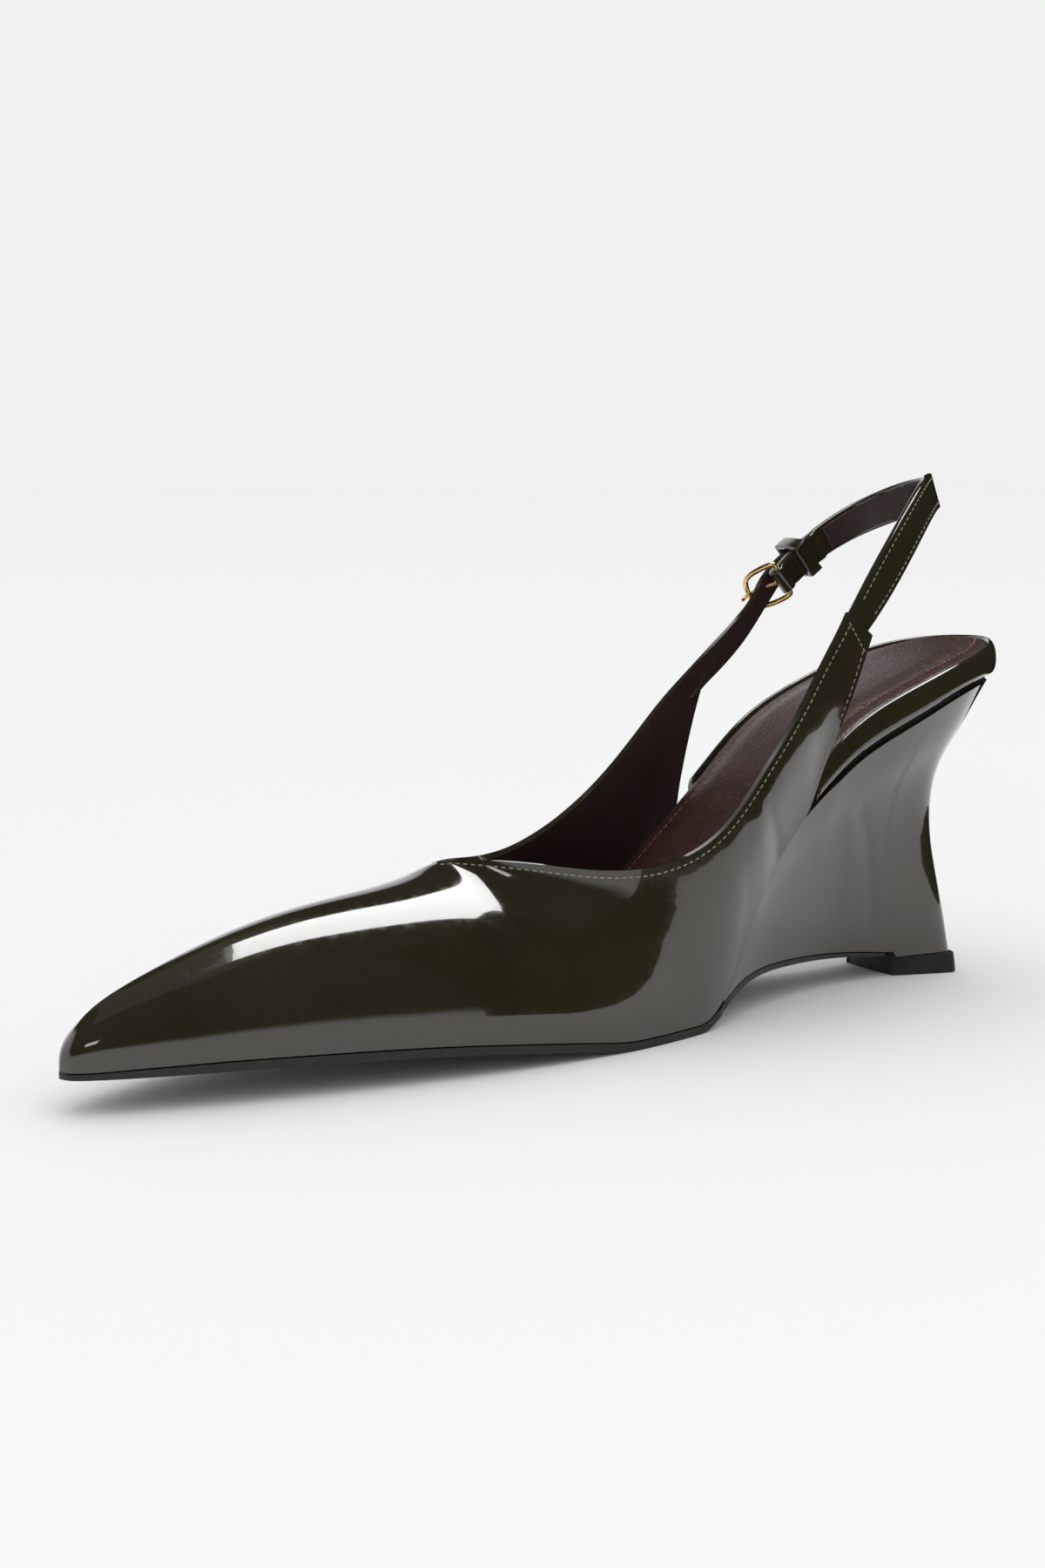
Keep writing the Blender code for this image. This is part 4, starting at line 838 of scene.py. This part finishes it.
def upper_side(rows, sign):
    """Outer surface of one side as ribs of points."""
    t = np.linspace(0.0, 1.0, POINTS)[:, None]
    ribs = []
    for row in spline(np.stack(list(rows.values()), 1), RIBS):
        low_x, low_y, low_up, top_x, top_y, top_z, lean, turn, reach_low, reach_top = row
        x0, y0, x1, y1 = low_x * LENGTH, low_y * BALL_WIDTH, top_x * LENGTH, top_y * BALL_WIDTH
        z0 = float(feather_z(x0)) + low_up * QUARTER_TOP + 0.05
        vamp = float(np.clip((x1 / LENGTH - 0.50) / 0.10, 0, 1))
        z1 = top_z * ((1 - vamp) * QUARTER_TOP + vamp * INSTEP / 0.4523)
        low, top = np.array([x0, y0, z0]), np.array([x1, y1, z1])
        follow_x = float(np.clip((0.70 - low_x) / 0.20, 0.1, 1.0))
        lean, turn = math.radians(lean), math.radians(turn)
        rise = z1 - z0
        a = low + reach_low * np.array([(x1 - x0) * follow_x, sign * math.tan(lean) * rise, rise])
        inwards = (y0 - y1) * max(math.cos(turn), 0.0)
        b = top + reach_top * np.array([x0 - x1, inwards, -math.sin(turn) * rise])
        ribs.append((1 - t) ** 3 * low + 3 * (1 - t) ** 2 * t * a + 3 * (1 - t) * t ** 2 * b + t ** 3 * top)
    return ribs


med_ribs = upper_side(MEDIAL, 1.0)
lat_ribs = upper_side(LATERAL, -1.0)
lat_ribs[0] = med_ribs[0]
for k in range(10 * RIBS + 1):
    mid = 0.5 * (med_ribs[k][-1] + lat_ribs[k][-1])
    med_ribs[k][-1] = mid
    lat_ribs[k][-1] = mid


def upper_normals(ribs, sign):
    """Outward normals of a side's grid of points."""
    g = np.array(ribs)
    du = np.gradient(g, axis=0)
    dv = np.gradient(g, axis=1)
    n = np.cross(du, dv) * sign
    n /= np.maximum(np.linalg.norm(n, axis=2), 1e-9)[:, :, None]
    return g, n


med_grid, med_n = upper_normals(med_ribs, 1.0)
lat_grid, lat_n = upper_normals(lat_ribs, -1.0)
if med_n[len(med_n) // 2, POINTS // 2, 1] < 0:
    med_n = -med_n
if lat_n[len(lat_n) // 2, POINTS // 2, 1] > 0:
    lat_n = -lat_n
FOLDS = (  # soft troughs and ridges on the medial waist: along, height (mm), depth, half width
    ((95.0, 52.0), (90.0, 44.0), (87.5, 34.0), (88.0, 22.0), 0.22, 1.8),
    ((99.5, 50.0), (95.0, 40.0), (93.5, 28.0), (95.0, 17.0), -0.16, 2.4),
    ((104.0, 44.0), (101.0, 34.0), (100.5, 24.0), (103.0, 14.0), 0.12, 2.2),
)
med_grid = med_grid - med_n * fold_depth(med_grid[:, :, 0], med_grid[:, :, 2], FOLDS)[:, :, None]
TURN_IN = 0.8           # how far the leather rolls inwards at the medial topline (mm)
TURN_FROM = 0.55        # share of the side's height where the roll starts
roll = TURN_IN * np.clip((np.linspace(0.0, 1.0, POINTS) - TURN_FROM) / (1.0 - TURN_FROM), 0.0, 1.0) ** 1.6
roll_here = np.interp(med_grid[:, -1, 0] / LENGTH, [0.31, 0.36, 0.52, 0.60], [0.0, 1.0, 1.0, 0.0])
med_grid = med_grid - med_n * (roll_here[:, None] * roll[None, :])[:, :, None]
verts = np.vstack([med_grid.reshape(-1, 3), lat_grid.reshape(-1, 3)])
faces = grid_faces(len(med_ribs), POINTS, flip=True)
faces += grid_faces(len(lat_ribs), POINTS, start=len(med_ribs) * POINTS)
mesh = bpy.data.meshes.new("upper_leather")
mesh.from_pydata([((v[0] + ORIGIN_X) * MM, (v[1] + ORIGIN_Y) * MM, v[2] * MM) for v in verts], [], faces)
mesh.materials.append(OLIVE)
mesh.materials.append(LINING)
bm = bmesh.new()
bm.from_mesh(mesh)
bmesh.ops.remove_doubles(bm, verts=bm.verts, dist=2e-5)
bm.to_mesh(mesh)
bm.free()
for p in mesh.polygons:
    p.use_smooth = True
upper = bpy.data.objects.new("upper_leather", mesh)
bpy.context.scene.collection.objects.link(upper)
wall = upper.modifiers.new("wall", 'SOLIDIFY')
wall.thickness = WALL * MM
wall.offset = -1.0
wall.use_even_offset = True
wall.use_quality_normals = True
wall.material_offset = 1
wall.material_offset_rim = 0
apply_all(upper)
rounded(upper, 0.42, 3, 55)
settle(upper, "patent_leather", "upper")

# stitches along the topline, the rear edges and the end of the medial quarter
STITCH_IN = 1.8         # distance of the stitches from the edge
REAR_ROW = 22.6         # row of the tables where the rear edges begin
edge_thread = Threads("edge_stitches", THREAD, 1.15, 0.20, 0.15)


def inner_row(grid, normals, ribs, from_top, distance):
    """Path a set distance from the top or bottom edge of a range of ribs."""
    path, nor = [], []
    for i in ribs:
        line = grid[i][::-1] if from_top else grid[i]
        nn = normals[i][::-1] if from_top else normals[i]
        s = np.concatenate([[0], np.cumsum(np.linalg.norm(np.diff(line, axis=0), axis=1))])
        path.append([np.interp(distance, s, line[:, k]) for k in range(3)])
        nor.append([np.interp(distance, s, nn[:, k]) for k in range(3)])
    return np.array(path), np.array(nor)


def clean(path, nor):
    """Drop points that turn back on themselves."""
    keep = [0]
    for i in range(1, len(path)):
        if np.linalg.norm(path[i] - path[keep[-1]]) > 0.25:
            keep.append(i)
    return path[keep], nor[keep]


front = 10 * RIBS
for grid, normals in ((med_grid, med_n), (lat_grid, lat_n)):
    count = len(grid)
    path, nor = inner_row(grid, normals, range(front, count - 3), True, STITCH_IN)
    edge_thread.row(*clean(path, nor))
    path, nor = inner_row(grid, normals, range(int(REAR_ROW * RIBS), count - 3), False, STITCH_IN)
    edge_thread.row(*clean(path, nor))
edge_thread.row(med_grid[-4][3:-3], med_n[-4][3:-3], pitch=1.6)
settle(edge_thread.build(), "patent_leather")

# Sling strap
SLING = table(
    "along side height rise width lean",
    (0.2580, 0.304, 0.911, 0.000, 0.58, 0),
    (0.2440, 0.311, 0.960, 0.000, 0.74, 0),
    (0.2195, 0.301, 1.000, 0.109, 0.97, 0),
    (0.1835, 0.280, 1.000, 0.445, 1.00, 3),
    (0.1466, 0.232, 1.000, 0.735, 1.00, 8),
    (0.1128, 0.149, 1.000, 0.869, 0.96, 14),
    (0.0872, 0.054, 1.000, 0.854, 0.91, 18),
    (0.0735, -0.036, 1.000, 0.826, 0.91, 18),
    (0.0699, -0.134, 1.000, 0.806, 0.93, 18),
    (0.0812, -0.232, 1.000, 0.731, 0.95, 13),
    (0.1098, -0.301, 1.000, 0.620, 0.90, 6),
    (0.1462, -0.333, 1.000, 0.461, 0.82, 2),
    (0.1737, -0.351, 1.101, 0.000, 0.75, 0),
    (0.1929, -0.356, 1.054, 0.000, 0.70, 0),
)
FOLD = 15.0             # length of the strap end folded back round the buckle
FOLD_MORE = 1.2         # extra thickness there
BEAD = 2.1              # radius of the fold round the axle
height = SLING["height"] * QUARTER_TOP + SLING["rise"] * (STRAP_TOP - QUARTER_TOP)
path = spline(np.stack([SLING["along"] * LENGTH, SLING["side"] * BALL_WIDTH, height,
                        SLING["width"] * STRAP_WIDTH, SLING["lean"]], 1), 14)
middle, width, top_in = path[:, :3], path[:, 3], np.radians(path[:, 4])[:, None]
run = np.gradient(middle, axis=0)
run /= np.linalg.norm(run, axis=1)[:, None]
out = np.stack([-run[:, 1], run[:, 0], 0 * run[:, 0]], 1)
out /= np.linalg.norm(out, axis=1)[:, None]
if out[len(out) // 2, 0] > 0:
    out = -out
across = np.cross(run, out)
across *= np.sign(across[:, 2])[:, None]
out, across = out * np.cos(top_in) + across * np.sin(top_in), across * np.cos(top_in) - out * np.sin(top_in)
past = np.linalg.norm(middle - middle[-1], axis=1)
AXLE = middle[-1] - out[-1] * FOLD_MORE / 2
total = np.concatenate([[0], np.cumsum(np.linalg.norm(np.diff(middle, axis=0), axis=1))])


EDGE_ROOM = 0.35        # where the flat face starts inside the rounded edge


def strap_profile(c, o, a, half, outer, inner, lip=0.45):
    """Rounded flat section."""
    pts = []
    for side in (1, -1):
        up_c, up_r = half - lip, lip
        arcs = np.linspace(0, math.pi / 2, 4)
        if side == 1:
            corner = [(up_c - EDGE_ROOM, outer)]
            corner += [(up_c + up_r * math.sin(t), outer - lip + lip * math.cos(t)) for t in arcs]
            corner += [(up_c + up_r * math.cos(t), -inner + lip - lip * math.sin(t)) for t in arcs]
            corner += [(up_c - EDGE_ROOM, -inner)]
        else:
            corner = [(EDGE_ROOM - up_c, -inner)]
            corner += [(-up_c - up_r * math.sin(t), -inner + lip - lip * math.cos(t)) for t in arcs]
            corner += [(-up_c - up_r * math.cos(t), outer - lip + lip * math.sin(t)) for t in arcs]
            corner += [(EDGE_ROOM - up_c, outer)]
        pts += corner
    return np.array([c + a * u + o * v for u, v in pts])


rings = []
for c, o, a, w, d in zip(middle, out, across, width, past):
    if d < BEAD:
        break
    inner = STRAP / 2 + FOLD_MORE * float(np.clip((FOLD - d) / 1.2, 0, 1))
    rings.append(strap_profile(c, o, a, w / 2, STRAP / 2, inner))
T, N, B = run[-1], out[-1], across[-1]
for d in np.linspace(-1.75, 2.03, 16):
    half = math.sqrt(BEAD ** 2 - d ** 2)
    rings.append(strap_profile(AXLE + T * d, N, B, width[-1] / 2, half, half, min(0.4, half * 0.9)))
verts, faces = loft(rings)
sling = new_object("sling_leather", verts, faces, [OLIVE])
settle(sling, "patent_leather", "sling_strap")
begin = int(np.searchsorted(total, 9.0))
finish_at = int(np.argmax(past < FOLD + 1.5))
rings = []
for i in range(begin, finish_at):
    half = width[i] / 2 - 1.0
    rings.append(strap_profile(middle[i] - out[i] * (STRAP / 2), out[i], across[i], half, 0.0, 0.32, 0.14))
verts, faces = loft(rings)
settle(new_object("sling_lining", verts, faces, [LINING]), "brown_lining")
STRAP_STITCH_IN = 1.5   # distance of the stitches from the strap's edges
strap_thread = Threads("strap_stitches", THREAD, 1.15, 0.20, 0.15)
lo = int(np.searchsorted(total, 12.0))
hi = int(np.argmax(past < 9.0))
for sign in (1, -1):
    aside = (sign * (width[lo:hi] / 2 - STRAP_STITCH_IN))[:, None]
    strap_thread.row(middle[lo:hi] + out[lo:hi] * (STRAP / 2) + across[lo:hi] * aside, out[lo:hi])
settle(strap_thread.build(), "patent_leather")

# Buckle
SKEW = math.radians(6.0)     # the frame hangs a little steeper than the strap
RUN = -T * math.cos(SKEW) - B * math.sin(SKEW)
RISE = B * math.cos(SKEW) - T * math.sin(SKEW)
OUT = N
FRAME_LENGTH = 8.0      # axle to front bar
FRAME_HALF = 5.3        # half the height of the frame
TAB_OUT = 4.3           # outer face of the tab above the axle
FRONT_OUT = TAB_OUT + GAP + WIRE


def local(along, rise, outward):
    """Point beside the axle, in the buckle's own directions."""
    return AXLE + RUN * along + RISE * rise + OUT * outward


def round_wire(name, pts, radii, mat, closed=False, count=16):
    """Wire of round section along points."""
    pts = np.asarray(pts, float)
    n = len(pts)
    turn = np.linspace(0, 2 * math.pi, count, endpoint=False)[:, None]
    sections = []
    ref = np.array([0.3, 0.9, 0.2])
    for i in range(n):
        after, before = ((i + 1) % n, i - 1) if closed else (min(i + 1, n - 1), max(i - 1, 0))
        tangent = pts[after] - pts[before]
        tangent = tangent / np.linalg.norm(tangent)
        ref = ref - tangent * np.dot(ref, tangent)
        ref /= np.linalg.norm(ref)
        r = radii if np.isscalar(radii) else radii[i]
        sections.append(pts[i] + r * (np.cos(turn) * ref + np.sin(turn) * np.cross(tangent, ref)))
    if not closed:
        skin, quads = loft(sections)
        return new_object(name, skin, quads, [mat])
    shift = int(np.argmax([(sections[0][k] - pts[0]) @ ref for k in range(count)]))
    skin = np.vstack(sections + [np.roll(sections[0], -shift, 0)])
    return new_object(name, skin, grid_faces(n + 1, count, wrap=True), [mat])


# frame: straight axle, bowed sides and a rounded front, as one closed ring
QUARTER = ((0.0, 0.0), (0.0, 2.5), (0.0, 4.3), (-0.5, 4.9), (-2.0, 5.2), (-4.0, 5.2),
           (-6.0, 4.9), (-7.6, 4.2), (-8.6, 3.0), (-9.0, 1.5))
loop = list(QUARTER) + [(-9.0, 0.0)] + [(r, -u) for r, u in QUARTER[:0:-1]]
points = []
for along, rise in loop:
    share = min(max(-along, 0.0) / 7.0, 1.0)
    points.append(local(along / 9.0 * FRAME_LENGTH, rise / 5.2 * FRAME_HALF, FRONT_OUT * share ** 1.1))
ring = round_wire("buckle_ring", smooth_closed(points, 5), WIRE, GOLD, closed=True)
settle(ring, "gold_plate", "buckle_frame")
over = FRONT_OUT + WIRE + GAP + PRONG
PRONG_PATH = ((-1.45, 0.5), (-2.6, 1.9), (-3.9, 3.6), (-5.4, 5.2),
              (-7.2, over - 0.3), (-9.0, over), (-10.4, over - 0.3))
prong_line = spline([local(a, 0.0, o) for a, o in PRONG_PATH], 6)
radii = np.full(len(prong_line), PRONG)
radii[-4:] = PRONG * np.array([0.95, 0.85, 0.65, 0.3])
settle(round_wire("buckle_tongue", prong_line, radii, GOLD), "gold_plate", "buckle_prong")
KEEPER_BACK = 8.2       # from the axle to the middle of the keeper
KEEPER_HALF = 3.95      # half the height of the strap inside it
KEEPER_OUT = TAB_OUT + 0.3
k = int(np.argmin(np.abs(past - KEEPER_BACK)))
kc, kt, kn, ka = middle[k], run[k], out[k], across[k]


def keeper_ring(share, wall, bow, narrow=1.0, shallow=1.0):
    """Outline of the keeper at a share of its width, round a wall outside the strap's clearance."""
    outline = []
    for up, side in ((1, 1), (0.72, bow), (-0.72, bow), (-1, 1),
                     (-1, -1), (-0.72, -1.1), (0.72, -1.1), (1, -1)):
        high = (KEEPER_HALF + GAP + wall) * narrow
        deep = ((KEEPER_OUT if side > 0 else STRAP / 2 + FOLD_MORE) + GAP + wall) * shallow
        outline.append(kc + kt * share * KEEPER_WIDTH + ka * up * high + kn * side * deep)
    return smooth_closed(outline, 5)


# the outer skin with rounded rims, then the inner skin back to the start
EASE = ((0.5, 0.32), (0.49, 0.16), (0.45, 0.04), (0.38, 0.0))
rims = [(-d, e) for d, e in EASE] + [(0.0, 0.0)] + list(EASE[::-1])
rings = [keeper_ring(d, KEEPER - less, 1.16) for d, less in rims]
rings += [keeper_ring(d, 0.0, 1.1, 0.98, 0.94) for d in (0.5, -0.5)]
verts = np.vstack(rings + [rings[0]])
keeper = new_object("keeper_loop", verts, grid_faces(len(rings) + 1, len(rings[0]), wrap=True), [OLIVE])
settle(keeper, "patent_leather", "strap_keeper")

# Stage, light and camera
scene = bpy.context.scene
bpy.ops.mesh.primitive_plane_add(size=14.0, location=(0, 0, 0))
floor = bpy.context.object
floor.name = "studio_floor"
floor.data.materials.append(shader_of("studio_floor", (0.90, 0.90, 0.905), 0.75, spec=0.15)[0])

# dark card standing beside the heel, seen only in the gloss: its line on the floor and its height
CARD_HEIGHT = 0.55
card_line = ((-0.10, 0.46), (-0.24, 0.25), (-0.31, 0.12), (-0.36, -0.10), (-0.40, -0.40))
card_mesh = bpy.data.meshes.new("studio_card")
card_mesh.from_pydata([(x, y, z) for z in (0.001, CARD_HEIGHT) for x, y in card_line], [],
                      [(i, i + 1, i + 6, i + 5) for i in range(4)])
card = bpy.data.objects.new("studio_card", card_mesh)
scene.collection.objects.link(card)
card_mesh.materials.append(shader_of("studio_card", (0.012, 0.011, 0.008), 0.9, spec=0.0)[0])
card.visible_camera = False
card.visible_diffuse = False
card.visible_shadow = False

world = bpy.data.worlds.new("studio")
world.use_nodes = True
scene.world = world
wt = world.node_tree
wt.nodes.clear()
out_node = wt.nodes.new("ShaderNodeOutputWorld")
coord = wt.nodes.new("ShaderNodeTexCoord")
split = wt.nodes.new("ShaderNodeSeparateXYZ")
wt.links.new(coord.outputs["Generated"], split.inputs["Vector"])
path_node = wt.nodes.new("ShaderNodeLightPath")

# reflections see a white wall low down, higher up on the lateral side, and a dark room above it
WALL_LIGHT, ROOM_LIGHT = 0.90, 0.030
SKY_LOW, SKY_HIGH = 0.06, 1.48      # diffuse light from the horizon and from overhead
BACKDROP = 0.885                    # what the camera sees past the floor
shift_up = range_of(wt, split.outputs["Y"], -0.5, 0.2, -0.50, 0.0, 'SMOOTHSTEP')
level = wt.nodes.new("ShaderNodeMath")
wt.links.new(split.outputs["Z"], level.inputs[0])
wt.links.new(shift_up, level.inputs[1])
wall_light = range_of(wt, level.outputs["Value"], 0.0, 0.11, WALL_LIGHT, ROOM_LIGHT, 'SMOOTHSTEP')
sky_light = range_of(wt, split.outputs["Z"], 0.0, 1.0, SKY_LOW, SKY_HIGH)
lights = []
for strength in (BACKDROP, wall_light, sky_light):
    node = wt.nodes.new("ShaderNodeBackground")
    node.inputs["Color"].default_value = (1.0, 1.0, 1.005, 1.0)
    if isinstance(strength, float):
        node.inputs["Strength"].default_value = strength
    else:
        wt.links.new(strength, node.inputs["Strength"])
    lights.append(node.outputs["Background"])
for kind, light in (("Is Glossy Ray", lights[1]), ("Is Diffuse Ray", lights[2])):
    mix = wt.nodes.new("ShaderNodeMixShader")
    wt.links.new(path_node.outputs[kind], mix.inputs["Fac"])
    wt.links.new(lights[0], mix.inputs[1])
    wt.links.new(light, mix.inputs[2])
    lights[0] = mix.outputs["Shader"]
wt.links.new(lights[0], out_node.inputs["Surface"])


def softbox(name, location, target, size, size_y, radiance, diffuse=False, turn=0.0):
    """Rectangular lamp aimed at a target; without diffuse it only shows in reflections."""
    data = bpy.data.lights.new(name, 'AREA')
    data.shape = 'RECTANGLE'
    data.size, data.size_y = size, size_y
    data.energy = radiance * math.pi * size * size_y
    obj = bpy.data.objects.new(name, data)
    scene.collection.objects.link(obj)
    obj.location = location
    obj.rotation_euler = (Vector(target) - Vector(location)).to_track_quat('-Z', 'Y').to_euler()
    obj.rotation_euler.z += turn
    obj.visible_diffuse = diffuse
    obj.visible_camera = False
    return obj


softbox("toe_glint", (0.84, 0.81, 0.53), (0.128, 0.011, 0.017), 0.32, 0.14, 5.0)
softbox("overhead_box", (-0.44, 0.08, 1.0), (-0.44, 0.08, 0.0), 1.10, 0.50, 9.5, turn=-0.15)
softbox("ceiling", (0.2, -0.3, 4.0), (0.0, 0.0, 0.0), 3.2, 3.2, 0.12, diffuse=True)

# the camera fitted to the photograph, in the work frame's millimetres
EYE = (427.0, 424.2, 136.8)
AIM = (149.15, 0.0, 59.85)
cam_data = bpy.data.cameras.new("camera")
cam_data.lens = 50.0
cam = bpy.data.objects.new("camera", cam_data)
scene.collection.objects.link(cam)
eye, aim = (Vector(((x + ORIGIN_X) * MM, (y + ORIGIN_Y) * MM, z * MM)) for x, y, z in (EYE, AIM))
cam.location = eye
cam.rotation_euler = (aim - eye).to_track_quat('-Z', 'Y').to_euler()
cam_data.clip_start = 0.01
cam_data.clip_end = 50.0
scene.camera = cam
scene.view_settings.view_transform = 'Standard'
